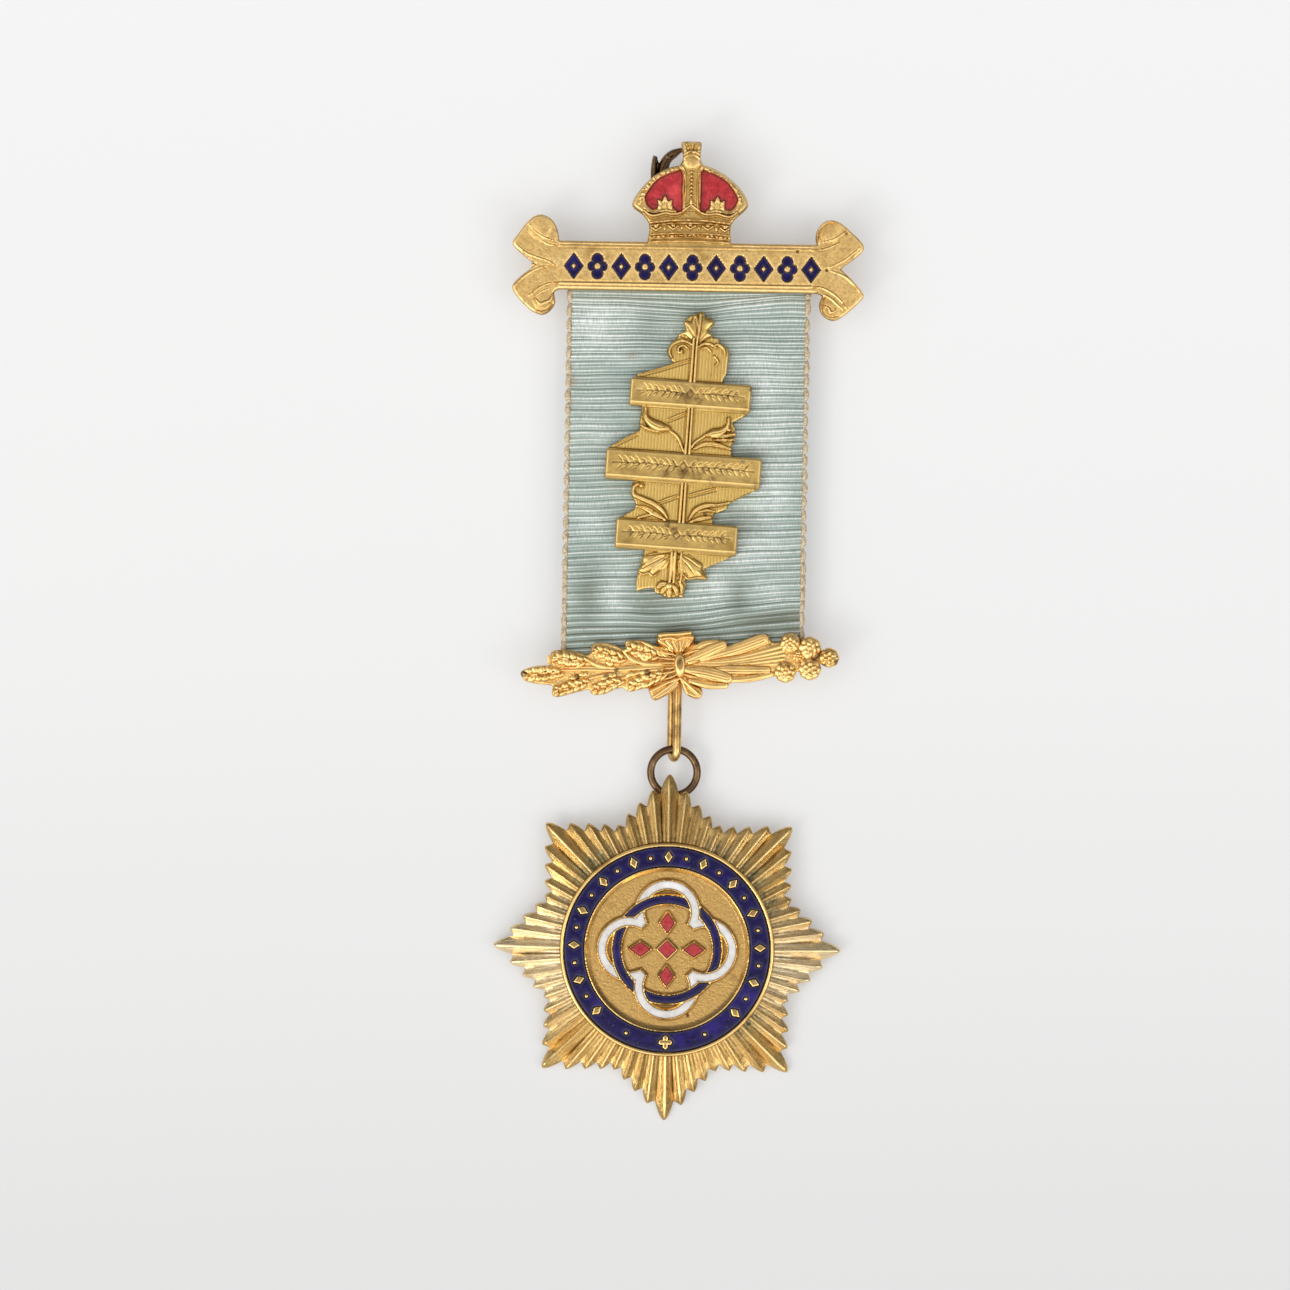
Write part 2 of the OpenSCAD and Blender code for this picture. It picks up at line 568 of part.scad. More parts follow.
// Star, in its own frame: the origin is the centre of its flat back
rays_main = 8;
rays_between = 7;
seat_r = disc_r + 0.15;
seat_z = 1.5;
tip_z = 0.8;
eyelet_y = 20.1;
// the star leans on its lowest tip and its eyelet
star_lean = asin((eyelet_z + ring_wire / 2 + 0.12) / (eyelet_y + star_r));

// Radius of the outline at an angle from the nearest long ray, and the widths of the rays
function star_edge(a) = 0.7085 * star_r / cos(45 - abs(a));
main_half = 3.4;                         // half angle of a long ray
sub_half = (45 - 2 * main_half) / rays_between / 2;
// angles, from a long ray, of a sector's rays and of the valleys between them
function ray_angle(k) = k == 0 ? 0 : main_half + (2 * k - 1) * sub_half;
function valley_angle(k) = main_half + 2 * k * sub_half;
function near_main(a) = a > 22.5 ? 45 - a : a;
// stations of one sector: [angle, outer radius, height factor], a valley after each ray
sector = concat(
    [[-0.55 * main_half, star_edge(0) * 0.935, 0.75], [0, star_r, 1],
        [0.55 * main_half, star_edge(0) * 0.935, 0.75]],
    [for (k = [0 : rays_between]) each concat(
        [[valley_angle(k), star_edge(near_main(valley_angle(k))) * 0.955 - 0.35, 0]],
        k == rays_between ? [] :
            let (a = ray_angle(k + 1)) [[a, star_edge(near_main(a)), 1]])]);
stations_all = [for (m = [0 : rays_main - 1]) for (s = sector) [s[0] + 45 * m, s[1], s[2]]];
ray_count = len(stations_all);

function polar(r, a, z) = [r * sin(a), r * cos(a), z];
module star_body() {
    // rings of points: seat centre, seat edge, ray foot, ray middle, tip top, tip bottom, back centre
    n = ray_count;
    function crest(s, f) = polar(seat_r + f * (s[1] - seat_r), s[0],
        tip_z + (1 - f) * (star_t - tip_z) - (1 - s[2]) * (0.55 - 0.1 * f));
    points = concat(
        [for (s = stations_all) polar(seat_r, s[0], seat_z)],
        [for (s = stations_all) crest(s, 0)],
        [for (s = stations_all) crest(s, 0.93)],
        [for (s = stations_all) polar(s[1], s[0], 0.45)],
        [for (s = stations_all) polar(s[1], s[0], 0)],
        [[0, 0, seat_z], [0, 0, 0]]);
    faces = [for (i = [0 : n - 1]) let (j = (i + 1) % n) each concat(
        [[5 * n, i, j]],
        [for (ring = [0 : 3]) each [
            [ring * n + i, (ring + 1) * n + i, (ring + 1) * n + j],
            [ring * n + i, (ring + 1) * n + j, ring * n + j]]],
        [[5 * n + 1, 4 * n + j, 4 * n + i]])];
    polyhedron(points, faces, convexity = 8);
}
module star_eyelet() {
    translate([link_x - star_at[0], eyelet_y, eyelet_z / cos(star_lean) - star_rise(eyelet_y)])
        rotate([0, 90, 0]) rotate_extrude() translate([eyelet_half, 0]) circle(d = eyelet_wire, $fn = 16);
}
function star_rise(y) = (y + star_r) * sin(star_lean);
module place_star() {
    translate([star_at[0], star_at[1], star_rise(0)]) rotate([star_lean, 0, 0]) children();
}
module star() color(gold) place_star() {
    star_body();
    difference() {
        star_eyelet();
        translate([-3, eyelet_y - 3, 0.3]) cube(6);
    }
}

// Roundel, on the star's seat
disc_low = seat_z + 0.1;
disc_top = disc_low + 1.3;
ring_out = disc_r - 0.55;
ring_in = 10.95;
field_r = 10.4;
rim_r = 0.27;                            // roundness of the gold rims
ring_floor = disc_top - 0.65;
field_z = disc_top - 0.45;
knot_top = disc_top - 0.15;
wall = 0.28;                             // gold wall round each centre cell
band_w = 0.95;                           // stroke of the knot

// Small gold ornaments that stand in the enamel ring: [angle from the foot, kind]
mark_r = (ring_in + ring_out) / 2;
ring_marks = concat([[0, 0], [25, 2], [-25, 2]], [for (i = [-6 : 6]) [180 + 22 * i, 1]],
    [for (i = [-6 : 5]) [191 + 22 * i, 2]]);
module mark_shape(kind, grow = 0) {
    if (kind == 0) for (p = [[0, 0.55], [0.55, 0], [0, -0.55], [-0.55, 0], [0, 0]])
        translate(p) circle(r = 0.42 + grow, $fn = 20);
    if (kind == 1) polygon([[0.62 + grow, 0], [0, 0.95 + grow], [-0.62 - grow, 0], [0, -0.95 - grow]]);
    if (kind == 2) circle(r = 0.3 + grow, $fn = 20);
}
module ring_mark_shapes(grow = 0) {
    for (m = ring_marks) rotate(m[0]) translate([0, -mark_r]) mark_shape(m[1], grow);
}

// Centre motif: a white four-lobed band woven with a blue ring, and five red lozenges
lobe_at = 4.9;
lobe_out = 4.1;
blue_out = 7.05;
cross_angle = 32.4;                      // where the bands cross, from a lobe's middle
cross_low = 12;                          // angles between which the bands overlap
cross_high = 45;
module four_lobes(r) {
    for (a = [0 : 90 : 270]) rotate(a) translate([lobe_at, 0]) circle(r = r);
    circle(r = r + 1.25);
}
module white_band(grow = 0) {
    difference() {
        four_lobes(lobe_out + grow);
        four_lobes(lobe_out - band_w - grow);
    }
}
module blue_band(grow = 0) {
    difference() {
        circle(r = blue_out + grow);
        circle(r = blue_out - band_w - grow);
    }
}
// A sector of the disc between two angles
module wedge(from, to) {
    polygon([[0, 0], for (t = [0 : 0.5 : 1]) let (a = from + t * (to - from)) 15 * [cos(a), sin(a)]]);
}
// white passes over at one end of each lobe, blue at the other
module white_part(grow = 0) {
    difference() {
        white_band(grow);
        for (a = [0 : 90 : 270]) intersection() {
            blue_band(wall - grow);
            wedge(a + cross_low, a + cross_high);
        }
    }
}
module blue_part(grow = 0) {
    difference() {
        blue_band(grow);
        for (a = [0 : 90 : 270]) intersection() {
            white_band(wall - grow);
            wedge(a - cross_high, a - cross_low);
        }
    }
}
module red_shape(k, grow = 0) {
    size = (k == 5 ? 1.15 : 1) + grow;
    if (k == 5) polygon([[size, 0], [0, size], [-size, 0], [0, -size]]);
    else rotate(90 * k) translate([3.5, 0])
        polygon([[1.3 * size, 0], [0, 0.9 * size], [-1.3 * size, 0], [0, -0.9 * size]]);
}
module roundel() color(gold) place_star() difference() {
    union() {
        translate([0, 0, disc_low]) cylinder(r = disc_r, h = disc_top - disc_low, $fn = 96);
        rotate_extrude($fn = 96) {
            translate([disc_r - rim_r, disc_top]) circle(r = rim_r, $fn = 24);
            translate([(field_r + ring_in) / 2, disc_top]) circle(r = 0.8 * rim_r, $fn = 24);
        }
    }
    // enamel ring's trench with the ornaments left standing in it
    translate([0, 0, ring_floor]) linear_extrude(1) difference() {
        circle(r = ring_out + gap, $fn = 96);
        circle(r = ring_in - gap, $fn = 96);
        ring_mark_shapes();
    }
    // sunk field with the walls of the cells left standing in it
    translate([0, 0, field_z]) linear_extrude(1) difference() {
        circle(r = field_r, $fn = 96);
        white_band(wall);
        blue_band(wall);
        for (k = [1 : 5]) red_shape(k, wall);
    }
    translate([0, 0, knot_top]) cylinder(r = field_r - 0.05, h = 1, $fn = 96);
    translate([0, 0, field_z]) linear_extrude(1) {
        white_part(gap);
        blue_part(gap);
        for (k = [1 : 5]) red_shape(k, gap);
    }
}
module ring_enamel() color(navy) place_star()
    translate([0, 0, ring_floor + gap]) linear_extrude(disc_top - ring_floor - gap - 0.05) difference() {
        circle(r = ring_out, $fn = 96);
        circle(r = ring_in, $fn = 96);
        ring_mark_shapes(gap);
    }
module knot_cell() {
    place_star() translate([0, 0, field_z + gap]) linear_extrude(knot_top - field_z - gap) children();
}
module knot_white(k) color(white) knot_cell() intersection() {
    white_part();
    wedge(90 * k + cross_angle, 90 * (k + 1) + cross_angle);
}
module knot_blue(k) color(navy) knot_cell() intersection() {
    blue_part();
    wedge(90 * k - cross_angle, 90 * (k + 1) - cross_angle);
}
module knot_red(k) color(red) knot_cell() red_shape(k);

crown_bar();
crown_enamel_left();
crown_enamel_right();
brooch_pin();
back_hook();
ribbon();
scroll_clasp();
spray_bar();
bail();
jump_ring();
star();
roundel();
ring_enamel();
for (i = [1 : 11]) bar_enamel(i);
for (i = [1 : 4]) knot_white(i);
for (i = [1 : 4]) knot_blue(i);
for (i = [1 : 5]) knot_red(i);
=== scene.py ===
"""Fraternal medal lying on a pale surface: struck reliefs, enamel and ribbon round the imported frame.

Shapes are worked out in millimetres in the frame's own axes and scaled once, in add_object.
"""
import copy
import math

import bmesh
import bpy
import numpy as np
from mathutils import Matrix, Vector


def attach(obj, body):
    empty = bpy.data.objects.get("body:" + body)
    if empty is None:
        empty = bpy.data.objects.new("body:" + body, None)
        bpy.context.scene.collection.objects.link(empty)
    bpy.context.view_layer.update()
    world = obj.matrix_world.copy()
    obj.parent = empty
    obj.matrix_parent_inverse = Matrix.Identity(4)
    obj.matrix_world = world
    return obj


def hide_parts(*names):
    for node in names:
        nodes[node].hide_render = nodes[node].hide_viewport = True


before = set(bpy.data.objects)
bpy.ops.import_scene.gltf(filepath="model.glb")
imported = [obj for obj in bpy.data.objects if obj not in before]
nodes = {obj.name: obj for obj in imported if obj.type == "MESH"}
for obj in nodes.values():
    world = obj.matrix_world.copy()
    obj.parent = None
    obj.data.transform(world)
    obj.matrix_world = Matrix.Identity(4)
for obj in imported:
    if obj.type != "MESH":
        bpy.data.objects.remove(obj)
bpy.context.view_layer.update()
MM = 0.001

# Places shared with the frame, in mm
BAR_AT = (0.5, 47.68)
CROWN_AT = (0.75, 55.5)
CLASP_AT, CLASP_TURN = (0.35, 21.5), -3.1
SPRAY_AT, SPRAY_TURN = (0.3, -4.2), 4.1
STAR_AT, STAR_R, STAR_LEAN = (-0.72, -41.35), 22.8, 2.659
RIBBON_X = 0.65
# the ribbon's two rods: how far they stand out on each side of its middle, and their radius
ROD_HALF, ROD_R = 17.1, 0.5


# Distances: negative inside a shape, in mm
def circle(x, y, centre, radius):
    return np.hypot(x - centre[0], y - centre[1]) - radius


def polygon(x, y, points):
    """Signed distance to a closed outline."""
    pts = np.asarray(points, float)
    nearest = np.full(np.shape(x), 1e9)
    odd = np.zeros(np.shape(x), bool)
    for (ax, ay), (bx, by) in zip(pts, np.roll(pts, -1, axis=0)):
        ex, ey = bx - ax, by - ay
        if ex == 0 and ey == 0:
            continue
        t = np.clip(((x - ax) * ex + (y - ay) * ey) / (ex * ex + ey * ey), 0, 1)
        nearest = np.minimum(nearest, (x - ax - t * ex) ** 2 + (y - ay - t * ey) ** 2)
        if ey != 0:
            odd ^= ((ay > y) != (by > y)) & (x < ex * (y - ay) / ey + ax)
    return np.where(odd, -1.0, 1.0) * np.sqrt(nearest)


def rounded(x, y, points):
    """Signed distance to a closed smooth outline."""
    return polygon(x, y, smooth_line(points, 3, closed=True))


def lozenge(x, y, wide, tall):
    return polygon(x, y, [(wide, 0), (0, tall), (-wide, 0), (0, -tall)])


def path_distance(x, y, points):
    """Distance to an open line, and the share of the way along it of the nearest point."""
    pts = np.asarray(points, float)[:, :2]
    steps = np.hypot(*np.diff(pts, axis=0).T)
    start = np.append(0, np.cumsum(steps))
    best, along = np.full(np.shape(x), 1e9), np.zeros(np.shape(x))
    for i, step in enumerate(steps):
        (ax, ay), (bx, by) = pts[i], pts[i + 1]
        ex, ey = bx - ax, by - ay
        t = np.clip(((x - ax) * ex + (y - ay) * ey) / max(step * step, 1e-12), 0, 1)
        d = np.hypot(x - ax - t * ex, y - ay - t * ey)
        nearer = d < best
        best = np.where(nearer, d, best)
        along = np.where(nearer, (start[i] + t * step) / start[-1], along)
    return best, along


def smooth_line(points, steps=5, closed=False):
    """Catmull-Rom curve through points of any number of columns."""
    p = np.asarray(points, float)
    if closed:
        p = np.vstack([p[-1], p, p[0], p[1]])
    else:
        p = np.vstack([2 * p[0] - p[1], p, 2 * p[-1] - p[-2]])
    out = []
    for i in range(1, len(p) - 2):
        for t in np.arange(steps) / steps:
            a, b, c, d = p[i - 1 : i + 3]
            out.append(0.5 * (2 * b + (c - a) * t + (2 * a - 5 * b + 4 * c - d) * t * t
                              + (3 * b - a - 3 * c + d) * t ** 3))
    if not closed:
        out.append(p[-2])
    return np.array(out)


# Profiles
def step_between(low, high, value):
    """0 below low, 1 above high, smooth between them."""
    t = np.clip((value - low) / (high - low), 0, 1)
    return t * t * (3 - 2 * t)


def bell(value, middle, width):
    """1 at the middle, fading on both sides."""
    return np.exp(-((value - middle) / width) ** 2)


def mound(x, y, at, wide):
    """1 at a place, fading round it, with its own width each way."""
    return np.exp(-((x - at[0]) / wide[0]) ** 2 - ((y - at[1]) / wide[1]) ** 2)


def rim_fade(d, width):
    """1 at an outline, fading inwards from it."""
    return np.exp(np.minimum(d, 0) / width)


def round_drop(q):
    """How far a ball of radius 1 has dropped at q from its middle."""
    return 1 - np.sqrt(1 - q * q)


def tapered(radius, along, taper):
    """The radius at a share of the way along, from factors spread evenly over the length."""
    if taper is None:
        return radius
    return radius * np.interp(along, np.linspace(0, 1, len(taper)), taper)


def blur(field, cells):
    """Mean over a square of 2 * cells + 1 points."""
    for axis in (0, 1):
        margin = [(cells + 1, cells) if a == axis else (0, 0) for a in (0, 1)]
        total = np.cumsum(np.pad(field, margin, mode="edge"), axis=axis)
        span = 2 * cells + 1
        ahead = np.take(total, range(span, total.shape[axis]), axis=axis)
        field = (ahead - np.take(total, range(total.shape[axis] - span), axis=axis)) / span
    return field


# Meshes
def put_in_scene(name, data):
    obj = bpy.data.objects.new(name, data)
    bpy.context.scene.collection.objects.link(obj)
    return obj


def add_object(name, verts, faces, place=None, smooth_angle=None, values=None, uv=None):
    """A mesh object from points in mm. place is a 4x4 in mm, values are point attributes."""
    verts = np.asarray(verts, float)
    if place is not None:
        m = np.array(place)
        verts = verts @ m[:3, :3].T + m[:3, 3]
    mesh = bpy.data.meshes.new(name)
    mesh.from_pydata((verts * MM).tolist(), [], faces)
    mesh.validate()
    mesh.shade_smooth()
    if smooth_angle is not None:
        mesh.set_sharp_from_angle(angle=math.radians(smooth_angle))
    for key, value in (values or {}).items():
        layer = mesh.attributes.new(key, "FLOAT", "POINT")
        layer.data.foreach_set("value", padded(value, len(verts)).astype(np.float32))
    if uv is not None:
        index = np.empty(len(mesh.loops), np.int32)
        mesh.loops.foreach_get("vertex_index", index)
        corners = padded(uv, len(verts)).astype(np.float32)[index]
        mesh.uv_layers.new(name="UVMap").data.foreach_set("uv", corners.ravel())
    return put_in_scene(name, mesh)


def padded(values, count):
    """Values with zeros, or rows of zeros, after them up to count."""
    values = np.asarray(values)
    return np.concatenate([values, np.zeros((count - len(values), *values.shape[1:]))])


def place_at(point, turn):
    return Matrix.Translation((*point, 0)) @ Matrix.Rotation(math.radians(turn), 4, "Z")


def box_part(low, high):
    """A box with its edges broken, as (points, faces)."""
    bm = bmesh.new()
    bmesh.ops.create_cube(bm, size=1)
    size, mid = np.subtract(high, low), (np.add(high, low)) / 2
    for v in bm.verts:
        v.co = Vector(mid + np.array(v.co) * size)
    bmesh.ops.bevel(bm, geom=bm.edges[:], offset=min(size) * 0.12, segments=2, affect="EDGES", profile=0.6)
    bm.verts.index_update()
    part = [tuple(v.co) for v in bm.verts], [[v.index for v in f.verts] for f in bm.faces]
    bm.free()
    return part


def tube_faces(count, sides):
    """Faces of a tube of count rings, one after the other, with both ends closed."""
    faces = [[i + k, i + (k + 1) % sides, i + sides + (k + 1) % sides, i + sides + k]
             for i in range(0, (count - 1) * sides, sides) for k in range(sides)]
    last = (count - 1) * sides
    return [*faces, list(range(sides))[::-1], [last + k for k in range(sides)]]


def tube_part(points, radii, sides=16):
    """A round wire along points in space, closed at both ends, as (points, faces)."""
    p = np.asarray(points, float)
    r = np.broadcast_to(np.asarray(radii, float), (len(p),))
    ways = np.gradient(p, axis=0)
    ways /= np.linalg.norm(ways, axis=1)[:, None]
    side = np.cross(ways[0], (0, 0, 1) if abs(ways[0][2]) < 0.9 else (1, 0, 0))
    turns = np.arange(sides) * 2 * math.pi / sides
    verts = []
    for i, way in enumerate(ways):
        side = side - way * side.dot(way)
        side /= np.linalg.norm(side)
        other = np.cross(way, side)
        verts.extend(p[i] + r[i] * (np.outer(np.cos(turns), side) + np.outer(np.sin(turns), other)))
    return verts, tube_faces(len(p), sides)


def strip_part(points, width, thick):
    """A bent strip in a plane of constant x, as (points, faces)."""
    p = np.asarray(points, float)
    ways = np.gradient(p, axis=0)
    normal = np.stack([np.zeros(len(p)), -ways[:, 2], ways[:, 1]], axis=1)
    normal /= np.linalg.norm(normal, axis=1)[:, None]
    verts = [p[i] + np.array([a * width / 2, 0, 0]) + b * thick / 2 * normal[i]
             for i in range(len(p)) for a, b in ((-1, -1), (1, -1), (1, 1), (-1, 1))]
    return verts, tube_faces(len(p), 4)


def rod_parts(middle, y, z, tab_top):
    """A ribbon rod with a tab at each end that stands up to the back of its bar."""
    reach = ROD_HALF + 0.4
    parts = [tube_part([(middle - reach, y, z), (middle + reach, y, z)], ROD_R)]
    for x in (middle - ROD_HALF, middle + ROD_HALF):
        parts.append(box_part((x - 0.5, y - 0.6, z - 0.4), (x + 0.5, y + 0.6, tab_top)))
    return parts


def join_parts(parts):
    """One set of points and faces from several."""
    faces, base = [], 0
    for verts, part_faces in parts:
        faces.extend([[base + i for i in face] for face in part_faces])
        base += len(verts)
    return np.vstack([verts for verts, _ in parts]), faces


# how far below its surroundings a struck point is painted fully dark (painted shade, and grime)
SUNK_DEPTH = 0.16


class Relief:
    """Struck metal as a height over a flat back: a grid of points with the distance to the outline,
    the height, and how stained each point is. Crests and tops are measured from its level."""

    def __init__(self, low, high, pitch, base, level=0.0):
        self.low, self.pitch, self.level = np.array(low, float), pitch, level
        self.x, self.y = np.meshgrid(np.arange(low[0], high[0] + pitch, pitch),
                                     np.arange(low[1], high[1] + pitch, pitch))
        self.edge = np.full(self.x.shape, 9.0)
        self.z = np.full(self.x.shape, float(base))
        self.stain, self.green, self.dull = (np.zeros(self.x.shape) for _ in range(3))

    def seen_from(self, origin):
        """The same relief, with places measured from origin."""
        view = copy.copy(self)
        view.x, view.y, view.low = self.x - origin[0], self.y - origin[1], self.low - origin
        return view

    def window(self, points, reach):
        """The cells within reach of some points."""
        p = np.asarray(points, float)[:, :2]
        first = np.maximum(((p.min(0) - reach - self.low) / self.pitch).astype(int), 0)
        last = np.maximum(((p.max(0) + reach - self.low) / self.pitch).astype(int) + 2, 1)
        return np.s_[first[1] : last[1], first[0] : last[0]]

    def raise_to(self, w, inside, top):
        """Lifts the cells of a window that lie inside a shape, and are lower than its top."""
        self.z[w] = np.where(inside, np.maximum(self.z[w], top), self.z[w])

    def widen(self, w, d):
        """Adds a shape to the plate's own outline."""
        self.edge[w] = np.minimum(self.edge[w], d)

    def outline(self, points):
        w = self.window(points, 1.0)
        self.widen(w, polygon(self.x[w], self.y[w], points))

    def patch(self, points, top, shoulder=0.2, solid=False):
        """A flat raised area with a rounded shoulder. A solid one is part of the outline too."""
        w = self.window(points, 0.6)
        d = polygon(self.x[w], self.y[w], points)
        if solid:
            self.widen(w, d)
        mixed = self.z[w] + (self.level + top - self.z[w]) * step_between(0, shoulder, -d)
        self.z[w] = np.maximum(self.z[w], mixed)

    def bead(self, path, radius, crest, drop, taper=None, solid=False, smooth=True):
        """A round ridge along a path. drop is its height from foot to crest."""
        line = smooth_line(path) if smooth and len(path) > 2 else np.asarray(path, float)
        w = self.window(line, radius + 0.3)
        d, along = path_distance(self.x[w], self.y[w], line)
        r = tapered(radius, along, taper)
        q = np.clip(d / np.maximum(r, 1e-6), 0, 1)
        self.raise_to(w, d < r, self.level + crest - drop * round_drop(q))
        if solid:
            self.widen(w, d - r)

    def grain(self, at, length, width, turn, crest, drop, solid=False, point=0.0):
        """A seed-like bump: an ellipsoid, drawn out at its far end by point."""
        w = self.window([at], max(length, width))
        c, s = math.cos(math.radians(turn)), math.sin(math.radians(turn))
        u = (self.x[w] - at[0]) * c + (self.y[w] - at[1]) * s
        v = (self.y[w] - at[1]) * c - (self.x[w] - at[0]) * s
        v = v / (1 - point * np.clip(u / length, -1, 1))
        q = (u / length) ** 2 + (v / width) ** 2
        self.raise_to(w, q < 1, self.level + crest - drop * (1 - np.sqrt(np.clip(1 - q, 0, 1))))
        if solid:
            self.widen(w, (np.sqrt(q) - 1) * min(length, width))

    def groove(self, path, radius, depth, smooth=True, taper=None, stain=0.0):
        """A round-bottomed line cut along a path."""
        line = smooth_line(path) if smooth and len(path) > 2 else np.asarray(path, float)
        w = self.window(line, radius + 0.1)
        d, along = path_distance(self.x[w], self.y[w], line)
        cut = np.clip(1 - (d / np.maximum(tapered(radius, along, taper), 1e-6)) ** 2, 0, 1)
        self.z[w] -= depth * cut
        self.stain[w] = np.maximum(self.stain[w], stain * cut ** 0.5)

    def spots(self, *rows):
        """Soft round stains: place, radius, strength, and for some the verdigris and a shallow pit."""
        for at, radius, stain, *more in rows:
            green, pit = (*more, 0, 0)[:2]
            w = self.window([at], radius * 1.2)
            far = np.hypot(self.x[w] - at[0], self.y[w] - at[1])
            fade = 1 - step_between(0.3 * radius, radius, far)
            self.stain[w] = np.maximum(self.stain[w], stain * fade)
            self.green[w] = np.maximum(self.green[w], green * fade)
            self.z[w] -= pit * fade

    def stipple(self, depth, seed, mask=1.0):
        """Fine uneven pits over the whole face, or where mask is above zero."""
        grain = blur(np.random.default_rng(seed).normal(size=self.z.shape), 1)
        self.z += depth * mask * grain / grain.std()

    def surface(self, inside, rounding):
        """The grid with its outer points drawn onto the outline, and its heights with a rounded rim."""
        gy, gx = np.gradient(self.edge, self.pitch)
        steep = np.maximum(gx * gx + gy * gy, 0.05)
        move = np.where(inside, 0, np.clip(self.edge / steep, -2 * self.pitch, 2 * self.pitch))
        rim = 1 - np.clip(-self.edge / rounding, 0, 1)
        return self.x - move * gx, self.y - move * gy, self.z - rounding * round_drop(rim)

    def build(self, name, back, rounding=0.25, place=None, more=(), hollow_cells=4, extra=None):
        """The relief as one closed mesh with side walls and a flat back. more are parts joined to it."""
        inside = self.edge < 0
        keep = kept_cells(inside)
        x, y, z = self.surface(inside, rounding)
        # how far each point lies below its surroundings: the materials paint hollows darker as painted shade
        # and grime, and crests lighter
        sunk = np.clip((blur(z, hollow_cells) - z) / SUNK_DEPTH, -1, 1)
        used = np.zeros(inside.shape, bool)
        for dy, dx in ((0, 0), (0, 1), (1, 0), (1, 1)):
            used[dy : used.shape[0] - 1 + dy, dx : used.shape[1] - 1 + dx] |= keep
        index = np.full(inside.shape, -1)
        index[used] = np.arange(used.sum())
        verts = np.stack([x[used], y[used], np.maximum(z[used], back + 0.05)], axis=1)
        corners = index[:-1, :-1], index[:-1, 1:], index[1:, 1:], index[1:, :-1]
        cells = np.stack([corner[keep] for corner in corners], axis=1)
        # the rim of the kept cells: directed edges that no neighbour shares
        starts, ends = cells.ravel(), np.roll(cells, -1, axis=1).ravel()
        count = len(verts)
        rim = ~np.isin(starts * count + ends, ends * count + starts)
        rim_from, rim_to = starts[rim], ends[rim]
        rim_points = np.unique(np.concatenate([rim_from, rim_to]))
        low_index = np.full(count, -1)
        low_index[rim_points] = count + np.arange(len(rim_points))
        floor = verts[rim_points].copy()
        floor[:, 2] = back
        faces = cells.tolist()
        faces += np.stack([rim_to, rim_from, low_index[rim_from], low_index[rim_to]], axis=1).tolist()
        faces += back_faces(floor, low_index[rim_from] - count, low_index[rim_to] - count, count)
        points, faces = join_parts([(np.vstack([verts, floor]), faces), *more])
        fields = {"sunk": sunk, "stain": self.stain, "green": self.green, "dull": self.dull, **(extra or {})}
        values = {key: field[used] for key, field in fields.items()}
        return add_object(name, points, faces, place, smooth_angle=55, values=values)


def kept_cells(inside):
    """Cells with a corner inside the outline, and none that meet at a corner alone."""
    keep = inside[:-1, :-1] | inside[1:, :-1] | inside[:-1, 1:] | inside[1:, 1:]
    for _ in range(3):
        a, b, c, d = keep[:-1, :-1], keep[1:, 1:], keep[:-1, 1:], keep[1:, :-1]
        one, two = a & b & ~c & ~d, c & d & ~a & ~b
        c |= one
        a |= two
    return keep


def back_faces(points, rim_from, rim_to, base):
    """Faces that close the flat back inside its rim."""
    bm = bmesh.new()
    verts = [bm.verts.new(p) for p in points]
    bm.verts.index_update()
    edges = []
    for a, b in zip(rim_from.tolist(), rim_to.tolist()):
        if a != b and bm.edges.get((verts[a], verts[b])) is None:
            edges.append(bm.edges.new((verts[a], verts[b])))
    bmesh.ops.triangle_fill(bm, use_beauty=False, use_dissolve=False, edges=edges, normal=(0, 0, -1))
    faces = []
    for f in bm.faces:
        corners = [base + v.index for v in f.verts]
        faces.append(corners if f.normal.z < 0 else corners[::-1])
    bm.free()
    return faces


# Materials
def as_colour(c):
    """Red, green, blue and alpha, from a colour or from one grey level."""
    return (c, c, c, 1.0) if isinstance(c, (int, float)) else (*c, 1.0)


def darker(colour, share):
    return tuple(share * c for c in colour)


class Nodes:
    """Short ways to add nodes to a tree. One number stands for a grey wherever a colour does."""

    def __init__(self, tree):
        self.tree = tree

    def feed(self, socket, value):
        """Links another node's output to a socket, or sets the socket to a plain value."""
        if isinstance(value, bpy.types.NodeSocket):
            self.tree.links.new(value, socket)
        else:
            socket.default_value = as_colour(value) if socket.type == "RGBA" else value

    def node(self, kind, inputs=None, **settings):
        n = self.tree.nodes.new(kind)
        for key, value in settings.items():
            setattr(n, key, value)
        for key, value in (inputs or {}).items():
            self.feed(n.inputs[key], value)
        return n

    def math(self, kind, one, two, clamp=False):
        return self.node("ShaderNodeMath", {0: one, 1: two}, operation=kind, use_clamp=clamp).outputs[0]

    def times(self, one, two, clamp=False):
        return self.math("MULTIPLY", one, two, clamp)


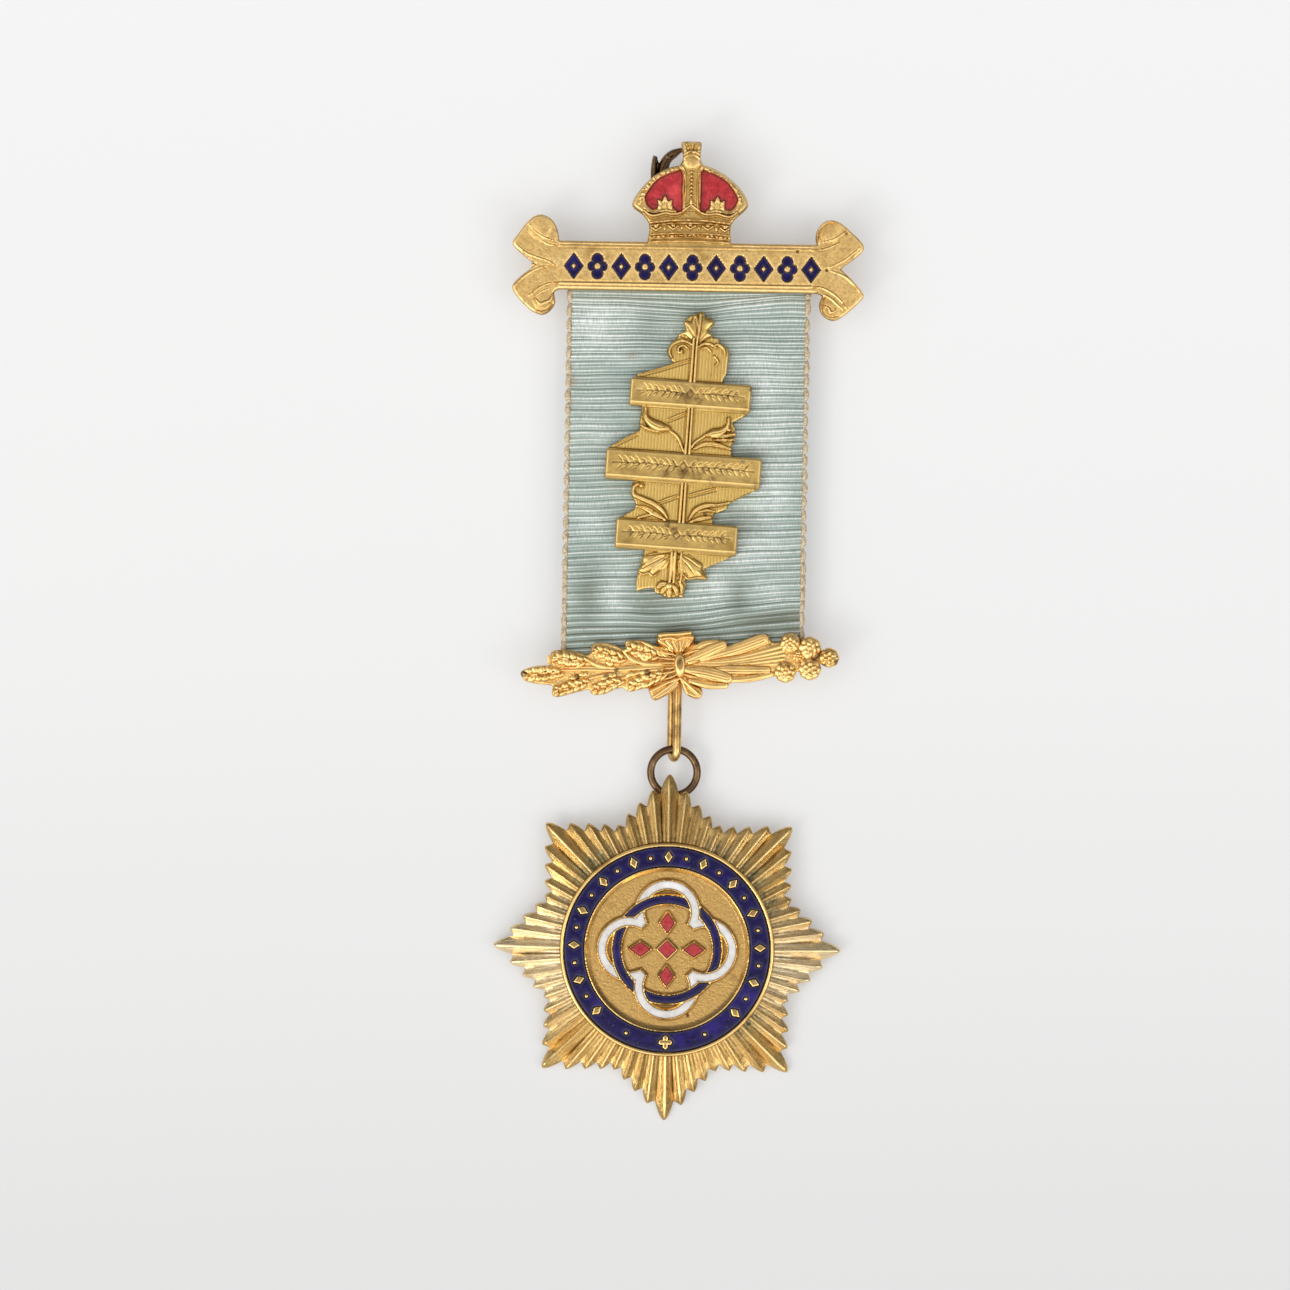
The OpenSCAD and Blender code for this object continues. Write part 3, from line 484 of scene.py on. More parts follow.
class Shade(Nodes):
    """A material."""

    def __init__(self, name, **sockets):
        self.material = bpy.data.materials.new(name)
        self.material.use_nodes = True
        super().__init__(self.material.node_tree)
        self.shader = self.tree.nodes["Principled BSDF"]
        for key, value in sockets.items():
            self.set(key.replace("_", " "), value)

    def set(self, socket, value):
        self.feed(self.shader.inputs[socket], value)

    def noise(self, size, detail=3.0, rough=0.55, coords="Object", squash=None):
        """Noise whose features are about size mm across."""
        at = self.node("ShaderNodeTexCoord").outputs[coords]
        if squash is not None:
            at = self.node("ShaderNodeMapping", {"Vector": at, "Scale": squash}).outputs["Vector"]
        return self.node("ShaderNodeTexNoise", {"Vector": at, "Scale": 1 / (size * MM), "Detail": detail,
                                                "Roughness": rough}).outputs["Fac"]

    def uv_noise(self, across, along, detail, rough=0.5):
        """Noise in the mesh's own coordinates, with so many features to each unit of them."""
        return self.noise(1 / MM, detail, rough, "UV", (across, along, 1.0))

    def ramp(self, value, *stops):
        """A colour that follows value through stops of position and colour."""
        n = self.node("ShaderNodeValToRGB", {"Fac": value})
        first, last = n.color_ramp.elements[0], n.color_ramp.elements[1]
        for element, (at, colour) in zip((first, last), (stops[0], stops[-1])):
            element.position, element.color = at, as_colour(colour)
        for at, colour in stops[1:-1]:
            n.color_ramp.elements.new(at).color = as_colour(colour)
        return n.outputs["Color"]

    def mix(self, share, one, two):
        return self.node("ShaderNodeMix", {0: share, 6: one, 7: two}, data_type="RGBA",
                         clamp_factor=True).outputs[2]

    def value(self, name):
        """A point attribute of the mesh."""
        return self.node("ShaderNodeAttribute", attribute_name=name).outputs["Fac"]

    def bump(self, height, depth):
        """Bump of depth mm, on top of any bump added before."""
        links = self.shader.inputs["Normal"].links
        below = {"Normal": links[0].from_socket} if links else {}
        n = self.node("ShaderNodeBump", {"Height": height, "Distance": depth * MM, **below})
        self.set("Normal", n.outputs["Normal"])


TARNISH = (0.105, 0.055, 0.024)
VERDIGRIS, VERDIGRIS_PALE = (0.035, 0.060, 0.040), (0.20, 0.26, 0.19)
# each gold: where it is lit, its body and where it is deep
GOLD = (0.86, 0.62, 0.275), (0.74, 0.495, 0.18), (0.46, 0.27, 0.075)
SATIN = (0.97, 0.69, 0.32), (0.86, 0.575, 0.215), (0.54, 0.32, 0.10)
CLASP_GOLD = (0.92, 0.65, 0.26), (0.75, 0.505, 0.165), (0.45, 0.265, 0.075)
GILT = (0.98, 0.70, 0.32), (0.90, 0.575, 0.205), (0.62, 0.33, 0.08)
# colours of the painted shade and the painted light on the star's gilding
STAR_SHADED, STAR_LIT = (0.40, 0.25, 0.085), (1.0, 0.835, 0.56)
# share of each channel that a matt ground keeps
DULL_SHARES = (0.62, 0.60, 0.50)


def gold_shade(name, light, body, deep, rough=(0.28, 0.44), stipple=0.16, stipple_depth=0.008, relief=True,
               speckle=0.35, streaks_and_painted_light=False, hollow=(0.16, 0.095, 0.028), waver=0.005):
    """Gilt metal: colour drifting over the surface, fine stipple, and painted shade with grime in its
    hollows.
    """
    s = Shade(name, Metallic=1.0)
    fine = s.noise(0.42, 5.0, 0.68)
    colour = s.ramp(s.noise(5.0, 4.0), (0.32, deep), (0.44, body), (0.60, body), (0.76, light))
    colour = s.mix(s.ramp(fine, (0.36, speckle), (0.58, 0.0)), colour, deep)
    roughness = s.ramp(s.noise(1.6, 4.0), (0.3, rough[0]), (0.7, rough[1]))
    if streaks_and_painted_light:
        along = s.uv_noise(11.0, 0.55, 3.0, 0.6)
        colour = s.mix(s.ramp(along, (0.34, 0.45), (0.52, 0.0)), colour, deep)
        colour = s.mix(s.ramp(along, (0.56, 0.0), (0.72, 0.5)), colour, light)
        # painted light and shade by bearing round the star: shaded sides mixed towards a dark colour, lit
        # sides towards a pale one
        painted_light = s.value("painted_light")
        colour = s.mix(s.times(painted_light, -0.75, clamp=True), colour, STAR_SHADED)
        colour = s.mix(s.times(painted_light, 0.8, clamp=True), colour, STAR_LIT)
        s.bump(along, 0.05)
    if relief:
        colour, roughness = wear(s, fine, colour, roughness, light, body, hollow)
    s.set("Base Color", colour)
    s.set("Roughness", roughness)
    s.bump(s.noise(stipple, 2.0), stipple_depth)
    s.bump(s.noise(1.1, 3.0), waver)
    return s.material


def wear(s, fine, colour, roughness, light, body, hollow):
    """What age does to a struck face, together with painted shade and light: painted shade and grime in its
    hollows, stains, verdigris, and crests painted bright partly as wear and partly as painted highlight.
    """
    sunk = s.value("sunk")
    # painted shade in the hollows, broken up by fine noise and mixed with grime
    dark = s.times(s.ramp(sunk, (0.08, 0.0), (0.75, 1.0)), 0.88)
    broken = s.times(dark, s.ramp(fine, (0.30, 1.0), (0.72, 0.45)))
    grime = s.ramp(s.noise(1.3, 3.0), (0.46, 0.0), (0.62, 0.85))
    colour = s.mix(broken, colour, s.mix(grime, hollow, darker(hollow, 0.3)))
    ragged = s.ramp(s.noise(0.9, 4.0, 0.65), (0.36, 0.0), (0.62, 0.75))
    stain = s.math("SUBTRACT", s.times(s.value("stain"), 1.5), ragged, clamp=True)
    stain = s.times(stain, s.ramp(fine, (0.34, 0.95), (0.66, 0.55)))
    matt = tuple(share * c for share, c in zip(DULL_SHARES, body))
    colour = s.mix(stain, s.mix(s.value("dull"), colour, matt), TARNISH)
    green = s.times(s.value("green"), s.ramp(fine, (0.36, 1.0), (0.60, 0.30)))
    flecks = s.ramp(s.noise(0.5, 3.0), (0.56, 0.0), (0.66, 0.8))
    colour = s.mix(green, colour, s.mix(flecks, VERDIGRIS, VERDIGRIS_PALE))
    # crests painted brighter, partly as wear and partly as painted highlight
    worn = s.ramp(s.times(sunk, -1.0), (0.0, 0.0), (0.35, 1.0))
    worn = s.times(worn, s.math("SUBTRACT", 1.0, s.math("MAXIMUM", stain, green)))
    colour = s.mix(s.times(worn, 0.55), colour, light)
    soft = s.math("MAXIMUM", green, s.times(s.math("MAXIMUM", stain, broken), 0.4))
    s.set("Metallic", s.math("SUBTRACT", 1.0, s.times(green, 0.75)))
    return colour, s.mix(soft, roughness, 0.75)


def roundel_shade():
    """Gold of the roundel: polished rims, and a stippled field sunk between the walls of the cells."""
    s = Shade("gold_roundel", Metallic=1.0)
    light, body, deep = SATIN
    field = s.value("field")
    fine = s.noise(0.30, 5.0, 0.65)
    colour = s.ramp(s.noise(4.0, 4.0), (0.30, deep), (0.40, body), (0.55, body), (0.70, light))
    colour = s.mix(field, colour, (0.46, 0.285, 0.095))
    colour = s.mix(s.times(s.ramp(fine, (0.38, 0.6), (0.60, 0.0)), field), colour, (0.36, 0.215, 0.07))
    # hollows painted darker: painted shade
    dark = s.times(s.ramp(s.value("sunk"), (0.15, 0.0), (0.9, 1.0)), 0.7)
    colour = s.mix(dark, colour, (0.14, 0.09, 0.035))
    s.set("Base Color", s.mix(s.value("stain"), colour, TARNISH))
    s.set("Roughness", s.mix(field, 0.17, 0.30))
    s.bump(s.times(s.noise(0.24, 4.0, 0.6), field), 0.08)
    return s.material


def wire_shade(name, light, body, deep, rough):
    """Drawn wire: fine marks along it, with browned patches."""
    s = Shade(name, Metallic=1.0)
    grain = s.noise(0.22, 3.0, squash=(1.0, 0.25, 1.0))
    colour = s.ramp(s.noise(2.4, 5.0, 0.6), (0.30, deep), (0.50, body), (0.72, light))
    s.set("Base Color", s.mix(s.ramp(grain, (0.35, 0.40), (0.62, 0.0)), colour, deep))
    s.set("Roughness", s.ramp(grain, (0.3, rough), (0.8, rough + 0.14)))
    s.bump(grain, 0.006)
    return s.material


def enamel_shade(name, light, body, deep, rough=0.10, pits=0.0):
    """Fired enamel: a glossy surface over a colour that varies a little in depth, darker along its border."""
    s = Shade(name, IOR=1.50, Specular_IOR_Level=0.5)
    colour = s.ramp(s.noise(0.8, 6.0, 0.8), (0.34, deep), (0.52, body), (0.70, light))
    # random patches of painted glint, brighter than the enamel's lightest colour
    glow = s.ramp(s.noise(5.0, 3.0), (0.56, 0.0), (0.68, 0.5))
    colour = s.mix(glow, colour, tuple(min(1.0, 1.5 * c) for c in light))
    speck = s.noise(0.30, 1.0)
    border = s.value("border")
    if pits:
        colour = s.mix(s.ramp(speck, (0.22, pits), (0.28, 0.0)), colour, (0.20, 0.20, 0.22))
    s.set("Base Color", s.mix(s.times(border, 0.6), colour, darker(deep, 0.5)))
    s.set("Roughness", s.mix(border, rough, 0.6))
    s.bump(s.noise(1.8, 2.0), 0.030)
    s.bump(speck, 0.003)
    return s.material


def silk_shade():
    """Ribbed silk: painted highlights along its crest lines and where it shines, painted shade in its valleys
    and folds, fine warp threads and slow changes of colour.
    """
    s = Shade("silk", Roughness=0.34, Sheen_Weight=0.1, Sheen_Roughness=0.4, Specular_IOR_Level=0.7)
    per_rib = s.uv_noise(0.09, 1.25, 3.0)
    body = s.ramp(per_rib, (0.30, (0.25, 0.325, 0.285)), (0.50, (0.325, 0.405, 0.36)),
                  (0.72, (0.39, 0.46, 0.41)))
    body = s.mix(s.ramp(s.noise(7.0), (0.38, 0.45), (0.60, 0.0)), body, (0.225, 0.335, 0.335))
    # painted highlight where the silk shines, painted shade where it folds
    shine, fold_shade = s.value("shine"), s.value("fold_shade")
    patchy = s.ramp(s.noise(2.6), (0.38, 0.3), (0.60, 0.95))
    glint = s.times(patchy, s.ramp(per_rib, (0.36, 0.3), (0.58, 1.0)))
    body = s.mix(s.times(shine, glint), body, (0.84, 0.91, 0.92))
    body = s.mix(s.times(fold_shade, 0.85), body, (0.085, 0.092, 0.058))
    # crest lines painted lit, more where the silk shines and less in its folds: painted highlight
    lit = s.ramp(s.uv_noise(0.16, 0.6, 2.0), (0.34, 0.45), (0.62, 0.95))
    amount = s.math("ADD", lit, s.times(shine, 0.9))
    amount = s.times(amount, s.math("SUBTRACT", 1.0, s.times(fold_shade, 0.6)))
    body = s.mix(s.times(s.value("crest"), amount, clamp=True), body, (0.92, 0.94, 0.88))
    # painted shade in the valleys of the ribs
    body = s.mix(s.value("valley"), body, (0.085, 0.095, 0.055))
    threads = s.uv_noise(8.0, 0.8, 2.0)
    body = s.mix(s.ramp(threads, (0.36, 0.38), (0.58, 0.0)), body, (0.16, 0.19, 0.13))
    s.set("Base Color", s.mix(s.value("stain"), body, (0.28, 0.21, 0.12)))
    s.bump(threads, 0.03)
    return s.material


def picot_shade():
    """Cream edge loops of twisted thread, brown along their inner side and in the pinches."""
    s = Shade("picot", Roughness=0.5, Sheen_Weight=0.2)
    fibre = s.noise(0.22, 3.0, 0.7)
    colour = s.ramp(fibre, (0.36, (0.30, 0.20, 0.10)), (0.50, (0.55, 0.44, 0.28)), (0.68, (0.74, 0.66, 0.50)))
    colour = s.mix(s.ramp(s.value("crest"), (0.0, 0.85), (0.5, 0.0)), colour, (0.21, 0.12, 0.05))
    colour = s.mix(s.ramp(s.value("inner"), (0.35, 0.0), (0.9, 0.8)), colour, (0.26, 0.155, 0.07))
    s.set("Base Color", colour)
    s.bump(fibre, 0.06)
    return s.material


satin = gold_shade("gold_satin", *SATIN, rough=(0.33, 0.46), speckle=0.7, stipple=0.26, stipple_depth=0.028,
                   hollow=(0.17, 0.115, 0.05))
clasp_gold = gold_shade("gold_clasp", *CLASP_GOLD, rough=(0.28, 0.42), speckle=0.5, stipple=0.22,
                        stipple_depth=0.016)
star_gold = gold_shade("gold_star", *GOLD, rough=(0.14, 0.25), stipple=0.14, streaks_and_painted_light=True)
bright = gold_shade("gilt_bright", *GILT, rough=(0.24, 0.38), stipple_depth=0.006, speckle=0.2,
                    hollow=(0.42, 0.20, 0.045), waver=0.012)
polished = gold_shade("gold_plain", *GOLD, rough=(0.20, 0.34), stipple_depth=0.004, relief=False)
roundel_gold = roundel_shade()
gilt_wire = wire_shade("gilt_wire", (0.88, 0.61, 0.26), (0.66, 0.41, 0.14), (0.22, 0.115, 0.04), 0.22)
brown = wire_shade("brown_wire", (0.30, 0.195, 0.095), (0.15, 0.088, 0.043), (0.055, 0.030, 0.018), 0.30)
navy = enamel_shade("enamel_navy", (0.022, 0.012, 0.140), (0.011, 0.0065, 0.062), (0.007, 0.005, 0.030),
                    pits=0.5)
red = enamel_shade("enamel_red", (0.62, 0.075, 0.078), (0.44, 0.030, 0.036), (0.24, 0.015, 0.020), rough=0.2)
white = enamel_shade("enamel_white", (0.76, 0.73, 0.70), (0.69, 0.66, 0.63), (0.56, 0.53, 0.49), rough=0.2)
silk = silk_shade()
picot = picot_shade()


def finish_piece(obj, material, slot, *replaced):
    obj.data.materials.append(material)
    if replaced:
        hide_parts(*replaced)
    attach(obj, "root")


def fired(node, distance, low, high, pitch, top, back, place, material, slot):
    """A filling of enamel, its edge a little lower than its middle."""
    r = Relief(low, high, pitch, top)
    r.edge = distance(r.x, r.y)
    r.z -= 0.02 * rim_fade(r.edge, 0.25)
    border = rim_fade(r.edge, 0.16)
    obj = r.build(f"{node}_fired", back, rounding=0.02, place=place, extra={"border": border})
    finish_piece(obj, material, slot, node)


# Crowned bar, in the frame's own axes
BAR_BACK, PLATE_TOP = 4.0, 5.2
BAR_LEFT = [
    (-16.4, 50.95), (-16.55, 51.9), (-16.85, 52.9), (-17.5, 53.75), (-18.3, 54.2), (-19.0, 54.3),
    (-19.9, 53.95), (-20.8, 53.1), (-21.6, 52.0), (-22.3, 51.05), (-22.5, 50.55), (-22.3, 50.1),
    (-21.4, 49.25), (-20.4, 48.45), (-19.5, 47.8)]
BAR_LEFT_LOW = [
    (-20.1, 47.2), (-21.1, 46.45), (-22.0, 45.6), (-22.45, 44.85), (-22.2, 44.1), (-21.5, 43.2),
    (-20.8, 42.5), (-20.0, 41.8), (-19.1, 41.35), (-18.4, 41.25), (-17.7, 41.55), (-17.1, 42.2),
    (-16.8, 42.9), (-16.9, 43.6), (-16.95, 44.2), (-16.4, 44.6)]
BAR_RIGHT_LOW = [
    (17.0, 44.6), (17.7, 44.5), (18.05, 44.2), (17.8, 43.7), (17.7, 43.1), (17.8, 42.4), (18.2, 41.75),
    (18.9, 41.25), (19.7, 41.1), (20.5, 41.45), (21.3, 42.05), (22.2, 42.85), (23.0, 43.65), (23.45, 44.25),
    (23.35, 44.75), (22.7, 45.6), (21.8, 46.6), (21.0, 47.3)]
BAR_RIGHT = [
    (20.45, 47.85), (20.9, 48.25), (21.6, 48.75), (22.5, 49.45), (23.2, 50.15), (23.4, 50.75), (23.15, 51.3),
    (22.4, 52.1), (21.6, 52.8), (20.8, 53.5), (20.1, 53.95), (19.3, 54.2), (18.5, 54.1), (17.9, 53.75),
    (17.35, 53.0), (17.1, 52.3), (17.1, 51.6), (17.3, 50.95)]
# ends of the satin field between them
FIELD_LEFT, FIELD_RIGHT = -16.3, 16.6
# border lines of that field: height, radius, rise
EDGE_BEADS = [(50.28, 0.12, 0.11), (45.4, 0.13, 0.12), (50.62, 0.09, 0.05), (44.95, 0.09, 0.06)]
# engraved lines of the bar's two ends: path, radius, rise above the plate
BAR_LINES = [
    ([(-20.3, 52.95), (-19.5, 52.0), (-18.4, 51.3), (-17.1, 50.95)], 0.13, 0.13),
    ([(-18.9, 50.95), (-17.8, 50.4), (-16.4, 50.2)], 0.10, 0.09),
    ([(-22.1, 50.5), (-21.0, 49.4), (-19.3, 48.7), (-17.9, 48.25), (-16.8, 47.65)], 0.12, 0.12),
    ([(-21.6, 49.6), (-20.4, 48.6), (-19.4, 47.9)], 0.09, 0.07),
    ([(-22.1, 44.9), (-21.2, 45.9), (-19.9, 46.85), (-18.5, 47.45), (-16.8, 47.55)], 0.11, 0.10),
    ([(-20.2, 43.7), (-18.95, 44.68), (-17.6, 45.3), (-16.2, 45.45)], 0.13, 0.13),
    ([(-19.6, 43.5), (-18.6, 44.2), (-17.4, 44.75)], 0.09, 0.08),
    ([(16.3, 50.2), (18.2, 50.38), (19.4, 50.85), (20.2, 51.4)], 0.12, 0.12),
    ([(18.1, 51.35), (19.4, 51.65), (20.4, 52.25), (21.3, 53.0)], 0.15, 0.15),
    ([(18.9, 48.0), (20.5, 48.77), (21.7, 49.6), (23.0, 50.8)], 0.12, 0.11),
    ([(20.2, 48.0), (21.2, 48.7), (22.4, 49.8)], 0.09, 0.08),
    ([(19.2, 47.55), (20.9, 46.86), (22.15, 45.8), (23.1, 44.7)], 0.14, 0.15),
    ([(16.3, 45.45), (17.6, 45.4), (18.6, 45.05), (20.0, 44.15), (21.4, 42.6)], 0.14, 0.15),
    ([(17.2, 44.75), (18.9, 44.1), (20.0, 43.2), (21.0, 42.3)], 0.15, 0.15)]
# rolled ends: centre, radius of the dome, its crest above the plate
BAR_ROLLS = [((-18.9, 52.5), 1.75, 0.12), ((18.9, 52.55), 1.6, 0.12), ((-18.5, 42.9), 1.45, 0.10),
             ((19.3, 42.5), 1.45, 0.10)]
# hooked swirls of the two lower rolls, and the bright rims of the rolls
BAR_SWIRLS = [
    ([(-19.45, 43.3), (-18.75, 42.62), (-18.0, 42.85), (-17.35, 43.2), (-17.1, 44.0)], 0.22),
    ([(-19.3, 41.75), (-18.5, 41.5), (-17.7, 41.85), (-17.2, 42.5)], 0.12),
    ([(18.25, 43.05), (18.9, 42.65), (19.2, 42.15), (19.75, 42.3), (19.7, 42.7)], 0.16),
    ([(18.35, 44.0), (17.95, 43.2), (17.95, 42.3), (18.5, 41.6), (19.3, 41.35), (20.2, 41.6)], 0.14),
    ([(17.35, 51.3), (17.3, 52.4), (17.85, 53.4), (18.75, 53.9), (19.7, 53.8)], 0.14)]
# stains of the bar: place, radius, stain, verdigris, pit
BAR_SPOTS = [
    ((18.6, 47.68), 0.30, 1.0, 0, 0.2), ((14.75, 50.05), 0.34, 1.0, 0, 0.1), ((-14.3, 50.1), 0.35, 0.6),
    ((-13.1, 45.5), 0.3, 0.7), ((21.1, 52.45), 0.35, 0.9, 0, 0.05), ((-20.5, 52.4), 0.35, 0.6),
    ((-16.95, 52.2), 0.45, 0.7), ((17.3, 51.8), 0.45, 0.7), ((-21.6, 43.9), 0.5, 0.35),
    ((-20.9, 43.0), 0.5, 0.4), ((22.6, 51.9), 0.4, 0.4), ((-19.4, 47.75), 0.3, 0.8),
    ((20.9, 42.2), 0.35, 0.5)]
CELL_PITCH, CELL_COUNT, CELL_OFFSET = 3.1, 11, 0.55


def cell_place(k):
    return BAR_AT[0] + (k - (CELL_COUNT + 1) / 2) * CELL_PITCH + CELL_OFFSET, BAR_AT[1]


def cell_distance(x, y, k):
    """One inlay, in its own frame: hollow lozenges and hollow four-petalled flowers by turns."""
    if k % 2:
        return np.maximum(lozenge(x, y, 1.25, 1.7), -lozenge(x, y, 0.3125, 0.425))
    petals = [circle(x, y, (0, s * 0.95), 0.72) for s in (-1, 1)]
    petals += [circle(x, y, (s * 0.65, 0), 0.62) for s in (-1, 1)]
    return np.maximum(np.minimum.reduce(petals), 0.42 - np.hypot(x, y))


def bar_relief():
    r = Relief((-23.8, 40.9), (23.8, 64.6), 0.085, PLATE_TOP, PLATE_TOP)
    parts = BAR_LEFT, BAR_LEFT_LOW, BAR_RIGHT_LOW, BAR_RIGHT
    r.outline(np.vstack([smooth_line(part, 4) for part in parts]))
    # a narrow border line along each long edge of the satin field
    for y, radius, rise in EDGE_BEADS:
        r.bead([(FIELD_LEFT, y), (FIELD_RIGHT, y)], radius, rise, rise + 0.04)
    for y in (50.05, 45.64):
        r.groove([(FIELD_LEFT - 0.1, y), (FIELD_RIGHT, y)], 0.16, 0.035)
    for centre, radius, crest in BAR_ROLLS:
        r.grain(centre, radius, radius, 0, crest, 0.22)
    for path, radius, rise in BAR_LINES:
        r.groove(path, radius + 0.15, 0.04, taper=(0.3, 1, 1, 0.6))
        r.bead(path, radius, rise, rise + 0.04, taper=(0.45, 1, 1, 0.45))
    for path, radius in BAR_SWIRLS:
        r.groove(path, radius + 0.18, 0.05, taper=(0.5, 1, 1, 0.5))
        r.bead(path, radius, 0.27, 0.24, taper=(0.4, 1, 1, 0.45))
    for k in range(1, CELL_COUNT + 1):
        cell = r.seen_from(cell_place(k))
        w = cell.window([(0, 0)], 2.2)
        d = cell_distance(cell.x[w], cell.y[w], k) - 0.03
        cell.z[w] -= 0.45 * step_between(-0.03, 0.06, -d)
    crown_relief(r.seen_from(CROWN_AT))
    r.stipple(0.005, 21)
    r.spots(*BAR_SPOTS)
    return r


# Crown, in its own frame
# outlines of the arches, the foot and the worn cross
CROWN_ARCHES = [
    (0, 5.55), (1.4, 5.6), (2.8, 5.2), (4.4, 4.3), (5.5, 3.45), (6.35, 2.6), (7.1, 1.5), (7.42, 0.6),
    (7.3, 0.1), (6.85, -0.4), (6.1, -1.05), (5.6, -1.55), (5.25, -2.1), (4.7, -2.3), (0, -2.3), (-5.0, -2.3),
    (-5.5, -2.1), (-5.85, -1.5), (-6.5, -0.83), (-7.4, -0.2), (-7.72, 0.35), (-7.45, 1.15), (-6.6, 2.4),
    (-5.6, 3.5), (-4.5, 4.4), (-3.2, 5.1), (-1.6, 5.5)]
CROWN_FOOT = [(-5.75, -5), (5.3, -5), (5.15, -3.0), (5.25, -2.1), (-5.5, -2.1), (-5.4, -3.0)]
CROWN_CROSS = [(-1.5, 5.2), (-1.3, 6.0), (-1.15, 6.6), (-1.25, 7.2), (-1.4, 8.0), (-1.38, 8.55), (-0.6, 8.68),
               (0.3, 8.66), (1.15, 8.6), (1.2, 7.9), (1.15, 7.2), (1.12, 6.6), (1.25, 6.0), (1.5, 5.2)]
# outline of the left field, the fleur that stands in it, the left and right arch and the waved rim below
CROWN_FIELD = [
    (-1.32, 4.62), (-1.3, 2.2), (-1.22, -0.2), (-1.5, -0.5), (-1.8, -0.45), (-2.2, 0.0), (-3.4, 0.0),
    (-4.7, -0.1), (-5.1, -0.15), (-5.7, 0.4), (-6.0, 1.2), (-5.4, 2.3), (-4.5, 3.4), (-3.2, 4.2),
    (-2.2, 4.52)]
CROWN_FLEUR = [
    (-4.45, -0.6), (-4.42, 0.5), (-4.5, 1.05), (-4.1, 0.98), (-3.85, 0.85), (-3.72, 1.25), (-3.42, 1.7),
    (-3.12, 1.25), (-3.0, 0.85), (-2.75, 1.0), (-2.38, 1.02), (-2.45, 0.5), (-2.3, -0.1), (-2.0, -0.6)]
CROWN_BANDS = [
    [(-6.75, 0.4), (-6.35, 1.8), (-5.45, 3.05), (-4.25, 4.1), (-3.0, 4.75), (-1.9, 5.05)],
    [(6.4, 0.4), (6.1, 1.8), (5.3, 2.95), (4.1, 4.0), (2.9, 4.65), (1.85, 4.95)]]
CROWN_RIM = [
    (-6.1, -0.5), (-5.6, -0.95), (-4.9, -1.15), (-4.1, -0.98), (-3.3, -0.78), (-2.5, -0.9), (-1.6, -0.8),
    (-0.75, -0.25), (0, 0.25), (0.75, -0.25), (1.6, -0.8), (2.5, -0.9), (3.3, -0.78), (4.1, -0.98),
    (4.9, -1.15), (5.5, -0.95), (6.0, -0.5)]
# mouldings of the circlet: height, radius, crest, half length, sag
CROWN_MOULDINGS = [(-1.65, 0.15, 0.50, 5.2, 0.016), (-2.05, 0.10, 0.34, 5.1, 0.014),
                   (-3.35, 0.14, 0.36, 5.1, 0.010), (-3.95, 0.13, 0.28, 5.15, 0.008),
                   (-4.4, 0.15, 0.26, 5.2, 0.006)]
# leaves of a fleur: place, turn, length, width
CROWN_LEAVES = [((0, 1.05), 90, 0.62, 0.40), ((-0.62, 0.62), 128, 0.55, 0.40), ((0.62, 0.62), 52, 0.55, 0.40),
                ((-0.72, 0.05), 95, 0.45, 0.32), ((0.72, 0.05), 85, 0.45, 0.32), ((0, 0.2), 90, 0.7, 0.42)]
CROWN_SPOTS = [((0, -0.6), 0.9, 0.35), ((-0.75, 8.3), 0.9, 0.6), ((0.9, 8.4), 0.7, 0.5),
               ((3.3, -2.2), 0.8, 0.35), ((-3.2, -1.2), 0.6, 0.5), ((-5.2, -0.9), 0.5, 0.5),
               ((4.9, -0.7), 0.6, 0.4), ((-0.6, 2.8), 0.5, 0.3)]
CROWN_DULL = 0.7
# top of the crown's fields and how deep they are sunk
FIELD_TOP, FIELD_DEPTH = 5.5, 0.8


def crown_field_distance(x, y):
    """Distance to the left enamel field."""
    return np.maximum(rounded(x, y, CROWN_FIELD), -polygon(x, y, CROWN_FLEUR))


def crown_relief(c):
    """Arches, orb, fleurs and circlet, on the plate's grid."""
    draw = np.random.default_rng(5)
    w = c.window([(-9, -5), (9, 9.2)], 0)
    crown_body(c, w)
    crown_arches(c, draw)
    crown_orb(c, draw)
    crown_fleurs(c)
    crown_circlet(c, draw)
    d = crown_field_distance(-np.abs(c.x[w]), c.y[w]) - 0.03
    floor = FIELD_TOP - FIELD_DEPTH * step_between(-0.06, 0.07, -d)
    c.z[w] = np.where(d < 0.08, np.minimum(c.z[w], floor), c.z[w])
    c.spots(*CROWN_SPOTS)


def crown_body(c, w):
    """The crown's silhouette, and its arches raised between the outline and the fields."""
    x, y = c.x[w], c.y[w]
    arches = rounded(x, y, CROWN_ARCHES)
    whole = np.minimum.reduce([arches, polygon(x, y, CROWN_FOOT), rounded(x, y, CROWN_CROSS)])
    c.widen(w, whole)
    c.dull[w] = np.where(whole < 0.3, CROWN_DULL, c.dull[w])
    c.z[w] = np.where(whole < 0.3, c.level, c.z[w])
    band = np.minimum(-arches, rounded(-np.abs(x), y, CROWN_FIELD))
    c.raise_to(w, (np.abs(x) > 1.3) & (y > -0.7), c.level + 0.36 * step_between(0.0, 0.34, band))


